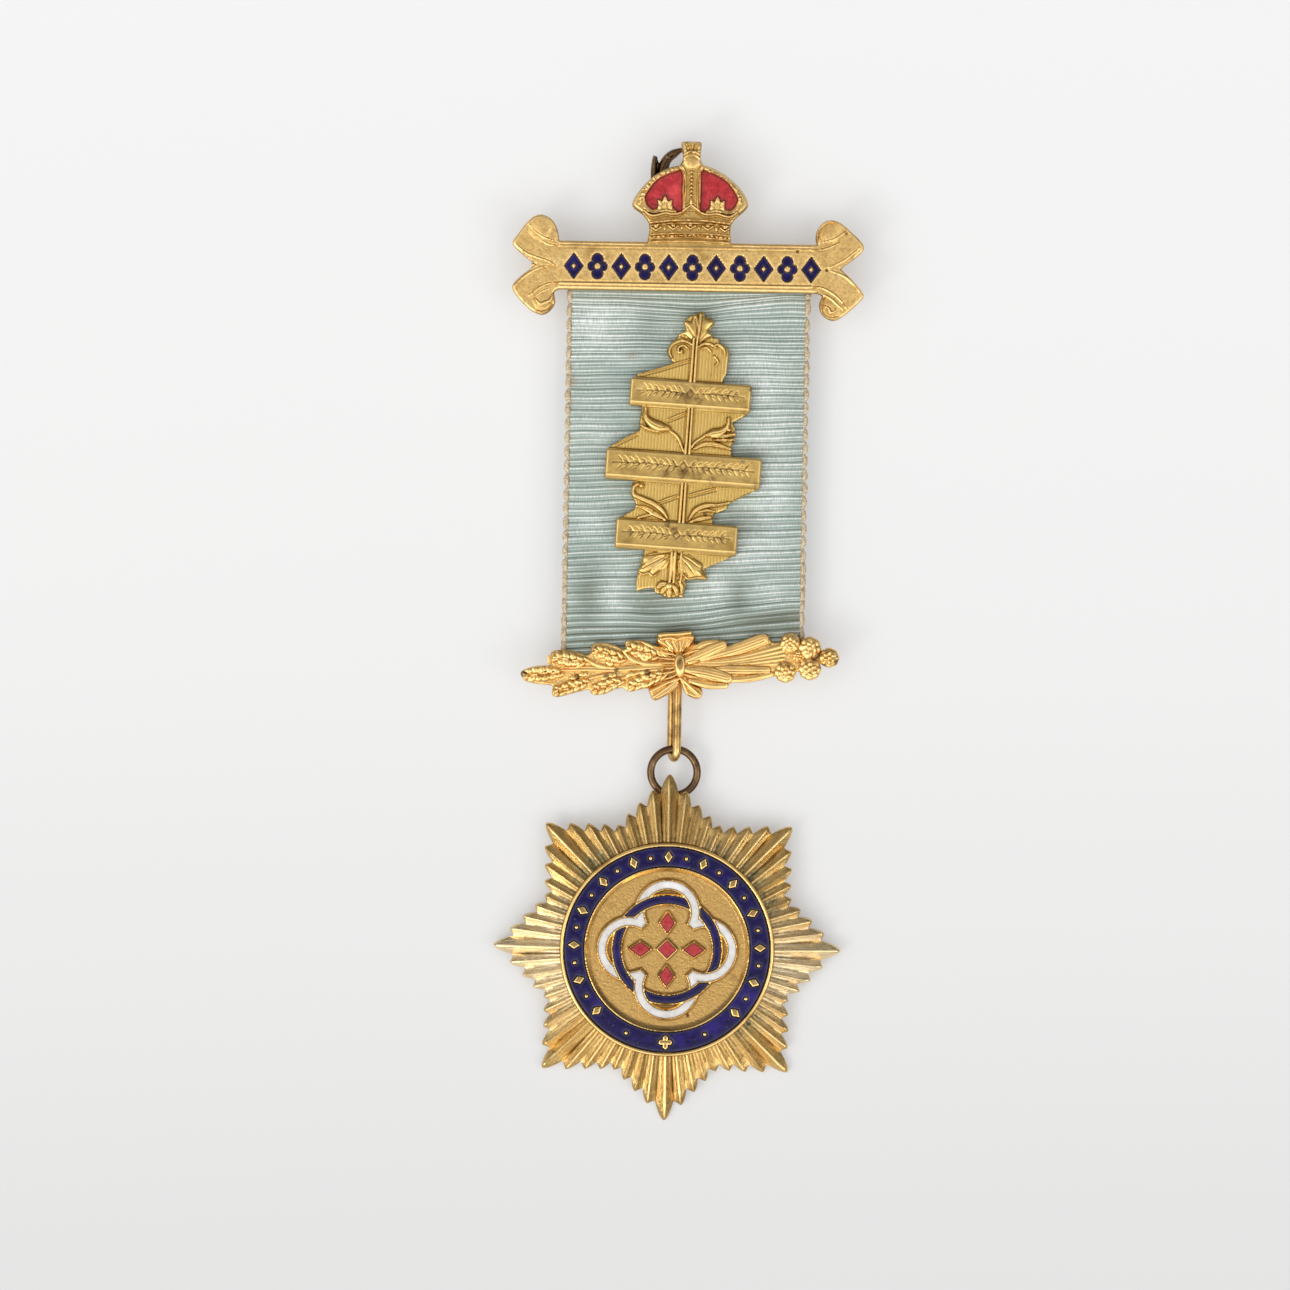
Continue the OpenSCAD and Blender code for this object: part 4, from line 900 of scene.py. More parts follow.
def crown_arches(c, draw):
    """Small uneven beads along the outer arches, and the middle arch, flared at its head."""
    for side, path in zip((-1, 1), CROWN_BANDS):
        line = smooth_line(path, 6)
        far = np.append(0, np.cumsum(np.hypot(*np.diff(line, axis=0).T)))
        for step in np.arange(0.2, far[-1], 0.40):
            at = [np.interp(step, far, line[:, k]) for k in (0, 1)]
            for _ in range(2):
                c.grain((at[0] + draw.uniform(-0.16, 0.16), at[1] + draw.uniform(-0.16, 0.16)),
                        draw.uniform(0.13, 0.26), draw.uniform(0.12, 0.2), draw.uniform(0, 180),
                        draw.uniform(0.50, 0.62), 0.22)
        c.bead([(-side * (x - 0.17), y + 0.13) for x, y in CROWN_FIELD[9:]], 0.13, 0.56, 0.25)
    c.patch([(-1.3, -0.6), (1.3, -0.6), (1.25, 4.4), (1.75, 5.3), (1.2, 6.0), (-1.2, 6.0), (-1.75, 5.3),
             (-1.25, 4.4)], 0.34, 0.18)
    for side in (-1, 1):
        for inset, radius in ((0.0, 0.13), (0.30, 0.12)):
            edge = ((1.62, 5.35), (1.22, 4.75), (1.1, 3.6), (1.12, -0.3))
            c.bead([(side * (x - inset), y) for x, y in edge], radius, 0.60, 0.24)
    # a string of beads down the middle, with a drop below them
    for i in range(7):
        c.grain((-0.03, 4.6 - 0.5 * i), 0.23, 0.20, 90 * (i % 2), 0.74, 0.3)
    c.grain((-0.03, 0.85), 0.55, 0.22, 90, 0.70, 0.3, point=0.4)


def crown_orb(c, draw):
    """Orb with its hoop, and the worn cross above."""
    c.grain((0, 5.95), 1.2, 0.95, 0, 0.62, 0.3)
    c.patch([(-0.95, 5.0), (0.95, 5.0), (0.8, 6.3), (-0.8, 6.3)], 0.36, 0.25)
    c.patch([(-1.25, 6.3), (1.1, 6.3), (1.15, 8.6), (-1.3, 8.6)], 0.45, 0.3)
    for rise, height in ((0.0, 0.68), (0.44, 0.72)):
        hoop = ((-1.15, 6.35), (-0.6, 6.72), (-0.05, 6.85), (0.55, 6.72), (1.05, 6.35))
        c.bead([(x, y + rise) for x, y in hoop], 0.14, height, 0.25)
    for _ in range(26):
        at = draw.uniform(-1.05, 1.0), draw.uniform(5.3, 8.4)
        c.grain(at, draw.uniform(0.12, 0.28), draw.uniform(0.1, 0.2), draw.uniform(0, 180),
                draw.uniform(0.5, 0.66), 0.2)
    for lean, depth in ((-1.05, 0.14), (-0.6, 0.2), (-0.12, 0.16), (0.3, 0.22), (0.72, 0.15), (1.0, 0.12)):
        c.groove([(lean * 0.55, 7.5), (lean + draw.uniform(-0.1, 0.1), 8.7)], 0.13, depth)


def crown_fleurs(c):
    """Three pointed leaves on a short stem, in each field."""
    for side in (-1, 1):
        middle = side * 3.42
        for (x, y), turn, length, width in CROWN_LEAVES:
            c.grain((middle + x, y), length, width, turn, 0.42, 0.2, point=0.2)
        for lean in (-0.42, 0, 0.42):
            c.groove([(middle + 0.4 * lean, -0.2), (middle + lean, 0.75)], 0.1, 0.08)


def crown_circlet(c, draw):
    """Waved rim, mouldings, the row of chevrons and a row of fine grains."""
    c.bead(CROWN_RIM, 0.17, 0.62, 0.28)
    c.bead([(x, y + 0.42) for x, y in CROWN_RIM], 0.12, 0.46, 0.18)
    c.groove([(x, y - 0.33) for x, y in CROWN_RIM], 0.17, 0.09)
    for level, radius, height, half, sag in CROWN_MOULDINGS:
        c.bead([(t - 0.1, level - sag * t * t) for t in np.linspace(-half, half, 9)], radius, height, 0.28)
    for i in range(-2, 3):
        x, y = -0.05 + 2.25 * i, -2.55 - 0.06 * i * i
        c.bead([(x - 0.66, y + 0.16), (x, y - 0.28), (x + 0.66, y + 0.16)], 0.13, 0.46, 0.2, smooth=False)
        c.grain((x, y + 0.22), 0.3, 0.2, 0, 0.34, 0.15)
        c.spots(((x, y), 0.3, 0.15))
        for side in (-1, 1):
            c.grain((x + side * 1.12, y - 0.12), 0.2, 0.2, 0, draw.uniform(0.28, 0.38), 0.18)
    for i in range(-9, 10):
        c.grain((0.58 * i - 0.1, -3.66 - 0.0035 * i * i), 0.3, 0.12, draw.uniform(-30, 30),
                draw.uniform(0.18, 0.28), 0.15)


def bar_hardware():
    """Ribbon rod, pin hinge and catch soldered behind the bar."""
    left, right, mid, back = BAR_AT[0] - 18.6, BAR_AT[0] + 18.9, BAR_AT[1] + 0.35, 4.2
    parts = rod_parts(RIBBON_X, BAR_AT[1] - 1.98, 2.3, back)
    for y in (mid - 0.95, mid + 0.95):
        parts.append(box_part((right - 0.95, y - 0.3, 0.1), (right + 0.95, y + 0.3, back)))
    parts.append(tube_part([(right, mid - 1, 1), (right, mid + 1, 1)], 0.3))
    hook = [(left, mid - 0.8, back), (left, mid - 0.8, 1.6)]
    bend = np.linspace(0, math.pi * 0.9, 9)
    hook += [(left, mid - 0.8 * math.cos(a), 1.02 - 0.8 * math.sin(a)) for a in bend]
    parts.append(strip_part(hook, 1.2, 0.36))
    return parts


def make_crown_bar():
    obj = bar_relief().build("crown_bar_struck", BAR_BACK, rounding=0.3, more=bar_hardware())
    finish_piece(obj, satin, "gold_satin", "crown_bar")


def make_bar_enamel():
    for k in range(1, CELL_COUNT + 1):
        cx, cy = cell_place(k)
        fired(f"bar_enamel_{k}", lambda x, y, k=k, cx=cx, cy=cy: cell_distance(x - cx, y - cy, k),
              (cx - 1.6, cy - 2.0), (cx + 1.6, cy + 2.0), 0.09, 4.88, 4.5, None, navy, "enamel_navy")
    cx, cy = CROWN_AT
    for side, word, left, right in ((-1, "left", -6.4, -0.9), (1, "right", 0.9, 6.4)):
        fired(f"crown_enamel_{word}", lambda x, y, side=side: crown_field_distance(-side * (x - cx), y - cy),
              (cx + left, cy - 0.9), (cx + right, cy + 5.0), 0.10, 5.16, 4.75, None, red, "enamel_red")


# Scroll clasp, in its own frame: x across, y up the staff
CLASP_BACK = 4.15
CLASP_CLOTH_TOP = CLASP_BACK + 0.6
# each band: left end, right end, lower edge, upper edge
CLASP_BANDS = [(-7.75, 8.15, 7.65, 11.4), (-10.25, 10.15, -2.1, 1.95), (-8.3, 7.7, -11.05, -7.05)]
# outlines of the cloth between the bands
CLASP_CLOTH = [
    [(-7, 11.2), (-7, 11.75), (-2.3, 13.6), (-3.1, 14.5), (-3.3, 15.2), (-2.8, 16.3), (-2.1, 16.95),
      (-1.85, 17.4), (-1.0, 18.0), (-1.15, 18.7), (-1.1, 19.4), (-0.6, 19.9), (0.2, 20.2), (0.9, 20.6),
      (1.35, 20.2), (1.5, 19.9), (2.4, 19.65), (2.7, 19.2), (2.4, 18.6), (2.0, 18.0), (2.6, 17.3),
      (3.3, 17.3), (3.5, 16.8), (4.6, 16.1), (4.9, 15.5), (4.8, 13.0), (4.2, 11.3)],
    [(-6, 7.9), (-6.2, 5.6), (-6.1, 4.6), (-8, 3.4), (-10.1, 1.9), (6.2, 1.8), (6.0, 3.4), (6.5, 4.0),
      (6.2, 4.4), (6.65, 4.8), (6.3, 5.3), (6.35, 5.7), (6.0, 6.4), (7.2, 7.1), (8.0, 7.8)],
    [(-5.9, -1.9), (-6.6, -2.6), (-6.7, -3.8), (-5.9, -5.1), (-6.1, -5.8), (-8.1, -7.15), (4.3, -7.2),
      (4.3, -5.8), (5.8, -5.1), (6.5, -4.1), (9.95, -2.0)],
    [(-4.3, -10.9), (-4.8, -13.1), (-5.15, -15.2), (-5.0, -16.5), (-4.0, -16.1), (-2.8, -15.9),
      (-2.5, -16.5), (-1.6, -16.8), (-0.8, -17.1), (0.2, -16.9), (1.1, -16.9), (1.5, -15.2), (1.2, -14.6),
      (2.0, -14.5), (4.2, -14.3), (3.7, -12.9), (7.5, -10.9)]]
# leaves and curls: path, radius, crest above the cloth, taper
CLASP_LEAVES = [
    ([(-1.1, -15.2), (-1.8, -15.3), (-2.2, -15.7)], 0.46, 0.40, (0.6, 1, 0.7)),
    ([(-1.1, -15.6), (-1.5, -16.0), (-1.7, -16.4)], 0.46, 0.42, (0.6, 1, 0.7)),
    ([(-0.7, -15.8), (-0.75, -16.3), (-0.7, -16.8)], 0.50, 0.44, (0.6, 1, 0.7)),
    ([(-0.3, -15.4), (0.15, -15.9), (0.3, -16.5)], 0.46, 0.42, (0.6, 1, 0.7)),
    ([(0.4, -14.8), (0.85, -15.4), (0.9, -16.3)], 0.36, 0.32, (0.6, 1, 0.7)),
    ([(-5.0, -13.85), (-4.3, -14.2), (-3.6, -13.95), (-2.95, -14.35),
      (-2.2, -13.7)], 0.15, 0.42, (0.8, 1, 1, 0.6)),
    ([(4.15, -14.15), (2.7, -14.15), (1.6, -14.4), (0.95, -13.9),
      (0.3, -14.1)], 0.15, 0.42, (0.8, 1, 1, 0.6)),
    ([(-0.9, -11.4), (-2.6, -11.7), (-4.2, -12.9)], 0.16, 0.50, (0.5, 1, 0.5)),
    ([(-0.9, -11.8), (-2.2, -12.6), (-3.5, -13.7)], 0.16, 0.50, (0.5, 1, 0.5)),
    ([(0.3, -11.5), (1.6, -12.5), (3.6, -13.9)], 0.16, 0.50, (0.5, 1, 0.5)),
    ([(0.2, -12.0), (0.8, -13.0), (1.6, -14.1)], 0.15, 0.48, (0.5, 1, 0.5)),
    ([(0.6, 16.6), (0.75, 18.6), (0.8, 20.1)], 0.34, 0.62, (0.6, 1, 0.8)),
    ([(0.2, 15.9), (-0.4, 16.35), (-1.5, 16.55), (-2.6, 16.0), (-2.95, 15.1),
      (-2.6, 14.3)], 0.24, 0.46, (0.6, 1, 1, 0.6)),
    ([(-0.5, 15.6), (-1.1, 15.95), (-1.75, 15.7), (-1.75, 15.1),
      (-1.2, 14.95)], 0.20, 0.40, (0.6, 1, 1, 0.8)),
    ([(0.8, 15.9), (1.3, 16.3), (2.2, 16.4), (3.1, 16.0)], 0.24, 0.46, (0.6, 1, 1, 0.6)),
    ([(2.6, 16.2), (3.4, 16.35), (4.1, 15.9), (4.35, 15.1)], 0.22, 0.46, (0.5, 1, 1, 0.6)),
    ([(1.2, 15.7), (1.9, 15.9), (2.5, 15.4)], 0.18, 0.36, (0.6, 1, 0.8)),
    ([(2.9, 14.9), (3.5, 14.2), (3.2, 13.6)], 0.18, 0.34, (0.6, 1, 0.8)),
    ([(-0.2, 2.2), (-1.0, 3.9), (-1.9, 4.6), (-2.6, 4.9)], 0.22, 0.42, (0.7, 1, 1, 1)),
    ([(-2.4, 5.0), (-3.6, 5.15), (-4.7, 5.6), (-5.4, 6.3),
      (-5.5, 7.4)], 0.80, 0.66, (0.5, 1, 0.85, 0.5, 0.3)),
    ([(-6.0, 5.2), (-4.9, 4.75), (-3.4, 4.45)], 0.26, 0.60, (0.5, 1, 0.6)),
    ([(0.6, 2.3), (1.2, 3.4), (2.2, 4.2), (3.1, 4.8)], 0.22, 0.42, (0.7, 1, 1, 1)),
    ([(2.6, 4.5), (3.6, 4.8), (4.6, 5.1), (5.3, 5.8), (5.4, 6.9)], 0.68, 0.66, (0.4, 1, 0.85, 0.5, 0.3)),
    ([(3.4, 4.3), (4.8, 4.5), (6.3, 4.85)], 0.34, 0.56, (0.5, 1, 0.8)),
    ([(3.6, 3.9), (5.0, 4.0), (6.3, 4.1)], 0.28, 0.50, (0.5, 1, 0.8)),
    ([(1.2, 2.6), (2.5, 3.3), (4.2, 3.3), (5.9, 2.9)], 0.40, 0.48, (0.5, 1, 1, 0.5)),
    ([(-1.7, -6.6), (-2.4, -5.7), (-3.6, -4.9), (-5.0, -4.4), (-6.2, -3.9), (-6.35, -3.0),
      (-5.8, -2.5)], 0.40, 0.54, (0.5, 1, 1, 1, 0.7, 0.6)),
    ([(-1.9, -6.9), (-3.2, -6.3), (-4.6, -5.6), (-5.8, -5.4)], 0.40, 0.42, (0.4, 1, 1, 0.4)),
    ([(-3.6, -6.3), (-4.6, -6.6), (-5.6, -6.9)], 0.26, 0.38, (0.5, 1, 0.5)),
    ([(1.2, -6.6), (1.9, -5.4), (3.2, -4.7), (4.8, -4.5), (6.3, -4.1)], 0.40, 0.54, (0.5, 1, 1, 0.7, 0.5)),
    ([(1.4, -6.9), (2.8, -6.4), (3.9, -6.2)], 0.38, 0.42, (0.4, 1, 0.8)),
    ([(2.4, -5.6), (3.4, -5.3), (4.4, -5.4)], 0.28, 0.44, (0.5, 1, 0.6)),
    ([(-0.3, -11.0), (-0.5, -12.6), (-0.7, -14.6)], 0.26, 0.52, (0.8, 1, 0.8)),
    ([(0.5, -11.0), (0.5, -12.2), (0.7, -13.6), (0.6, -15.0)], 0.26, 0.50, (0.8, 1, 1, 0.6))]
# filled leaves, each from its root round its edge, tips at every second point, and their crests
CLASP_BLADES = [
    ([(0.7, 16.2), (-1.0, 17.3), (-2.0, 17.3), (-1.1, 18.0), (-1.35, 19.2), (-0.4, 19.2), (0.0, 20.2),
      (0.8, 19.9), (1.1, 20.6), (1.5, 19.7), (2.6, 19.3), (2.0, 18.3), (2.5, 17.5), (1.6, 17.0)], 0.44),
    ([(-0.6, -11.1), (-2.4, -11.1), (-4.4, -11.8), (-4.5, -12.85), (-5.05, -13.8), (-4.3, -14.1),
      (-3.6, -13.9), (-3.0, -14.3), (-2.2, -13.6), (-1.5, -13.4), (-0.9, -12.4)], 0.40),
    ([(0.0, -11.1), (1.2, -11.1), (2.4, -11.8), (3.3, -12.3), (3.4, -13.1), (4.15, -14.2), (2.7, -14.1),
      (1.6, -14.4), (0.95, -13.8), (0.3, -13.9), (0.0, -12.6)], 0.40)]
# buds: place, radius, crest
CLASP_BUDS = [
    ((-0.8, -15.45), 0.66, 0.66), ((-5.35, -2.7), 0.4, 0.62), ((-1.35, 15.3), 0.26, 0.5),
    ((5.6, 5.4), 0.34, 0.6)]
CLASP_FOLDS = [
    [(-7, 11.8), (-4, 12.8), (-0.1, 14.3)], [(-0.2, 7.3), (-2.5, 6.2)], [(-0.6, -3.6), (-2.9, -4.6)],
    [(1.0, -3.4), (4.3, -2.3)], [(9.9, -2.1), (6.4, -4.1)], [(7.4, -11.1), (3.9, -12.8)],
    [(-10.0, 2.1), (-6.4, 4.2)]]
# stretches of the staff: middle, lower end, upper end
CLASP_STAFF = [(0.35, 11.0, 17.0), (0.35, 1.8, 7.9), (0.2, -7.3, -1.9), (-0.5, -14.9, -11.0)]
CLASP_SPOTS = [
    ((-0.2, 9.5), 1.7, 0.85), ((1.4, 9.2), 1.2, 0.75), ((8.0, 10.9), 0.55, 1.0), ((-3.4, 9.8), 0.9, 0.4),
    ((3.6, 9.6), 1.0, 0.35), ((0.0, -0.7), 1.3, 0.95), ((-2.2, -0.9), 1.1, 0.8), ((1.9, -0.7), 1.2, 0.8),
    ((3.8, -1.2), 1.0, 0.65), ((-4.6, -0.6), 1.2, 0.3), ((7.7, 1.45), 0.5, 0.3, 1.0),
    ((9.4, -1.4), 0.7, 0.6, 0.3), ((-1.6, -7.45), 0.8, 0.95), ((-0.6, -8.3), 1.0, 0.9),
    ((0.9, -8.8), 1.2, 0.6), ((3.4, -8.9), 1.2, 0.3), ((-3.5, -5.9), 0.4, 0.9), ((3.2, -5.8), 0.4, 0.9),
    ((2.6, 12.4), 0.6, 0.4), ((0.8, 20.0), 0.6, 0.4), ((-5.2, 5.2), 0.5, 0.4), ((5.9, 4.6), 0.5, 0.5),
    ((0.0, -16.2), 0.8, 0.5), ((-1.4, 15.4), 0.4, 0.7)]
CLASP_DULL, BAND_DULL = 0.75, 0.12


def clasp_relief():
    r = Relief((-10.6, -17.5), (10.6, 21.0), 0.08, CLASP_CLOTH_TOP, CLASP_CLOTH_TOP)
    for points in CLASP_CLOTH:
        r.outline(points)
    # woven hatching of the folded scroll
    r.z += 0.026 * np.cos(2 * math.pi * r.x / 0.42)
    for path in CLASP_FOLDS:
        r.bead(path, 0.16, 0.18, 0.2, taper=(0.6, 1, 0.6))
        r.groove([(x + 0.1, y - 0.3) for x, y in path], 0.2, 0.09)
    for leaf, crest in CLASP_BLADES:
        clasp_leaf(r, leaf, crest)
    for path, radius, rise, taper in CLASP_LEAVES:
        r.bead(path, radius, rise, rise + 0.1, taper=taper, solid=True)
        r.groove(path, 0.11, 0.09, taper=(0.4, 1, 0.4))
    for at, radius, rise in CLASP_BUDS:
        r.grain(at, radius, radius * 0.85, 30, rise, rise, solid=True)
    for x, low, high in CLASP_STAFF:
        for off in (-0.26, 0.26):
            r.bead([(x + off, low), (x + off * 0.85, high)], 0.22, 0.5, 0.3)
    r.dull[:] = CLASP_DULL * step_between(r.level + 0.35, r.level + 0.05, r.z)
    for left, right, low, high in CLASP_BANDS:
        clasp_band(r, left, right, low, high)
        r.dull[r.window([(left + 0.2, low + 0.2), (right - 0.2, high - 0.2)], 0)] = BAND_DULL
    r.spots(*CLASP_SPOTS)
    return r


def clasp_leaf(r, leaf, crest):
    """A filled leaf, domed, with a vein from its first point to each of its tips."""
    line = smooth_line(leaf, 3, closed=True)
    w = r.window(line, 0.4)
    d = polygon(r.x[w], r.y[w], line)
    r.widen(w, d)
    r.raise_to(w, d < 0, r.level + crest - 0.35 * rim_fade(d, 0.35))
    root = np.array(leaf[0])
    for tip in leaf[2:-1:2]:
        end = root + 0.86 * (np.array(tip) - root)
        r.groove([root, (root + end) / 2 + 0.06, end], 0.14, 0.12, taper=(0.5, 1, 0.5))


def clasp_band(r, left, right, low, high):
    """A band across the scroll: flat face, bevelled ends and a broad bright bevel along its lower edge."""
    w = r.window([(left, low), (right, high)], 0.6)
    x, y = r.x[w], r.y[w]
    bow = 0.12 * np.cos(np.pi * (x - (left + right) / 2) / (right - left))
    corner = 0.3
    dx = np.maximum(left - x, x - right) + corner
    dy = np.maximum(low - y, y - high) - 0.3 * bow + corner
    d = np.hypot(np.maximum(dx, 0), np.maximum(dy, 0)) + np.minimum(np.maximum(dx, dy), 0) - corner
    top = CLASP_BACK + 1.12 + 0.10 * bow
    for bevel, wide, inset in ((0.34, 0.62, y - low), (0.14, 0.35, high - y),
                               (0.2, 0.25, np.minimum(x - left, right - x))):
        top = top - bevel * (1 - step_between(0.0, wide, inset))
    top = top + 0.05 * bell(y, low + 0.66, 0.09) + 0.03 * np.sin(x * 0.9) * np.sin(y * 1.3)
    wall = step_between(-0.10, 0.05, -d)
    r.raise_to(w, d < 0.1, r.z[w] + (top - r.z[w]) * wall)
    r.widen(w, d)
    engrave_sprigs(r, left + 0.9, right - 0.9, (low + high) / 2 + 0.3)


def engrave_sprigs(r, start, end, mid):
    """Engraved lines browned along their length: a lozenge, and a leafy sprig out from it on each side."""
    draw = np.random.default_rng(int(10 * (end - start)))
    centre, reach = (start + end) / 2, (end - start) / 2
    r.groove([(centre - 0.45, mid), (centre, mid + 0.6), (centre + 0.45, mid), (centre, mid - 0.6),
              (centre - 0.45, mid)], 0.17, 0.05, smooth=False, stain=1.0)
    for side in (-1, 1):
        r.groove([(centre + side * 0.7, mid - 0.05), (centre + side * reach * 0.5, mid + 0.10),
                  (centre + side * reach, mid - 0.06)], 0.14, 0.04, stain=0.8)
        for k in range(int((reach - 0.9) / 0.78)):
            x = centre + side * (1.0 + 0.78 * k + draw.uniform(-0.06, 0.06))
            for up in (-1, 1):
                lift = draw.uniform(0.62, 0.85)
                r.groove([(x, mid), (x + side * 0.22, mid + up * 0.42), (x + side * 0.55, mid + up * lift)],
                         0.17, 0.06, taper=(1, 1, 0.6), stain=draw.uniform(0.4, 0.85))
                if k % 2 == 0:
                    r.groove([(x + side * 0.28, mid + up * 0.2), (x + side * 0.62, mid + up * 0.34)],
                             0.11, 0.05, smooth=False, stain=draw.uniform(0.5, 0.9))


def clasp_posts():
    """Two rivets that go through the ribbon."""
    levels, radii = (2.0, 2.35, 2.5, 2.5, CLASP_BACK + 0.3), (0.7, 0.8, 0.75, 0.4, 0.4)
    return [tube_part([(x, y, z) for z in levels], radii) for x, y in ((0.35, 12.3), (0, -12.3))]


def make_scroll_clasp():
    obj = clasp_relief().build("scroll_clasp_struck", CLASP_BACK, rounding=0.22,
                               place=place_at(CLASP_AT, CLASP_TURN), more=clasp_posts())
    finish_piece(obj, clasp_gold, "gold_satin", "scroll_clasp")


# Roundel, in the star's frame
STAR_PLACE = (Matrix.Translation((*STAR_AT, STAR_R * math.sin(math.radians(STAR_LEAN))))
              @ Matrix.Rotation(math.radians(STAR_LEAN), 4, "X"))
DISC_R, DISC_LOW, DISC_TOP = 14.1, 1.6, 2.9
RING_OUT, RING_IN, FIELD_R = 13.42, 10.95, 10.62
RING_FLOOR, FIELD_Z, KNOT_TOP = 2.25, 2.45, 2.75
WALL, BAND_W = 0.28, 0.95
LOBE_AT, LOBE_OUT, BLUE_OUT = 4.9, 4.1, 7.05
QUARTERS = (0, 90, 180, 270)
CROSS_ANGLE, CROSS_LOW, CROSS_HIGH = 32.4, 12, 45
RING_MARKS = ([(0, "cross"), (25, "dot"), (-25, "dot")] + [(180 + 22 * i, "lozenge") for i in range(-6, 7)]
              + [(191 + 22 * i, "dot") for i in range(-6, 6)])
ROUNDEL_SPOTS = [((2.9, -8.6), 0.35, 1.0, 0, 0.1), ((-7.2, 5.8), 0.7, 0.2, 0.1, 0.02),
                 ((8.9, -3.4), 0.8, 0.25, 0, 0.025), ((-3.0, -7.2), 0.9, 0.2, 0, 0.02)]


def turned(x, y, degrees):
    """Coordinates in a frame turned by an angle."""
    c, s = math.cos(math.radians(degrees)), math.sin(math.radians(degrees))
    return x * c + y * s, y * c - x * s


def mark_distance(x, y, kind):
    if kind == "dot":
        return np.hypot(x, y) - 0.3
    if kind == "lozenge":
        return lozenge(x, y, 0.62, 0.95)
    spots = [(0, 0.55), (0.55, 0), (0, -0.55), (-0.55, 0), (0, 0)]
    return np.minimum.reduce([circle(x, y, p, 0.42) for p in spots])


def ring_marks_distance(x, y):
    nearest = np.full(x.shape, 9.0)
    for angle, kind in RING_MARKS:
        u, v = turned(x, y, angle)
        nearest = np.minimum(nearest, mark_distance(u, v + (RING_IN + RING_OUT) / 2, kind))
    return nearest


def four_lobes(x, y, radius):
    lobes = [circle(*turned(x, y, a), (LOBE_AT, 0), radius) for a in QUARTERS]
    return np.minimum.reduce([*lobes, np.hypot(x, y) - radius - 1.25])


def wedge(x, y, first, last):
    """Distance to a sector between two angles."""
    return np.maximum(-turned(x, y, first)[1], turned(x, y, last)[1])


def white_band(x, y, grow=0.0):
    return np.maximum(four_lobes(x, y, LOBE_OUT + grow), -four_lobes(x, y, LOBE_OUT - BAND_W - grow))


def blue_band(x, y, grow=0.0):
    out = np.hypot(x, y)
    return np.maximum(out - BLUE_OUT - grow, BLUE_OUT - BAND_W - grow - out)


def band_part(x, y, band, over, first, last):
    """A woven band, cut where the other one crosses over it, between two angles of each lobe."""
    crossings = [np.maximum(over(x, y, WALL), wedge(x, y, a + first, a + last)) for a in QUARTERS]
    return np.maximum(band(x, y), -np.minimum.reduce(crossings))


def white_part(x, y):
    """White over blue at one end of each lobe, under it at the other."""
    return band_part(x, y, white_band, blue_band, CROSS_LOW, CROSS_HIGH)


def blue_part(x, y):
    return band_part(x, y, blue_band, white_band, -CROSS_HIGH, -CROSS_LOW)


def red_shape(x, y, k):
    if k == 5:
        return lozenge(x, y, 1.15, 1.15)
    u, v = turned(x, y, 90 * k)
    return lozenge(u - 3.5, v, 1.3, 0.9)


def make_roundel():
    r = Relief((-14.3, -14.3), (14.3, 14.3), 0.088, FIELD_Z)
    x, y = r.x, r.y
    out = np.hypot(x, y)
    r.edge = out - DISC_R
    r.z = np.where(out > FIELD_R, DISC_TOP - 0.04, FIELD_Z)
    r.z += 0.40 * step_between(0.55, 0.0, FIELD_R - out) * (out < FIELD_R)
    for middle, half, rise in (((RING_OUT + DISC_R) / 2, 0.30, 0.20), ((FIELD_R + RING_IN) / 2, 0.24, 0.12)):
        q = np.clip(np.abs(out - middle) / half, 0, 1)
        r.raise_to(np.s_[:], q < 1, DISC_TOP + rise - 0.3 * round_drop(q))
    # trench of the ring, with the small ornaments standing in it
    marks = ring_marks_distance(x, y)
    trench = np.maximum.reduce([out - RING_OUT - 0.02, RING_IN - 0.02 - out, -marks])
    floor = RING_FLOOR + (DISC_TOP + 0.05 - RING_FLOOR) * step_between(-0.06, 0.10, trench)
    r.z = np.where(trench < 0.15, np.minimum(r.z, floor), r.z)
    r.z += 0.05 * step_between(0.0, 0.2, -marks) * (out > RING_IN) * (out < RING_OUT)
    # walls of the woven bands and lozenges, and their cells
    reds = np.minimum.reduce([red_shape(x, y, k) for k in range(1, 6)])
    walls = np.minimum.reduce([white_band(x, y, WALL), blue_band(x, y, WALL), reds - WALL])
    r.z = np.maximum(r.z, FIELD_Z + (KNOT_TOP + 0.10 - FIELD_Z) * step_between(-0.10, 0.13, -walls))
    cells = np.minimum.reduce([white_part(x, y), blue_part(x, y), reds]) - 0.02
    r.z -= 0.42 * step_between(-0.05, 0.06, -cells)
    r.spots(*ROUNDEL_SPOTS)
    field = (out < FIELD_R) * step_between(0.25, 0.0, r.z - FIELD_Z)
    r.stipple(0.007, 22, field)
    obj = r.build("roundel_struck", DISC_LOW, rounding=0.22, place=STAR_PLACE, extra={"field": field})
    finish_piece(obj, roundel_gold, "gold_satin", "roundel")


def ring_distance(x, y):
    out = np.hypot(x, y)
    return np.maximum.reduce([out - RING_OUT, RING_IN - out, 0.03 - ring_marks_distance(x, y)])


def quarter(x, y, part, first):
    """The stretch of a woven band in the quarter turn that starts at an angle."""
    return np.maximum(part(x, y), wedge(x, y, first, first + 90))


def knot_cell(node, distance, reach, material, slot):
    fired(node, distance, (-reach, -reach), (reach, reach), 0.09, KNOT_TOP + 0.02, FIELD_Z + 0.05, STAR_PLACE,
          material, slot)


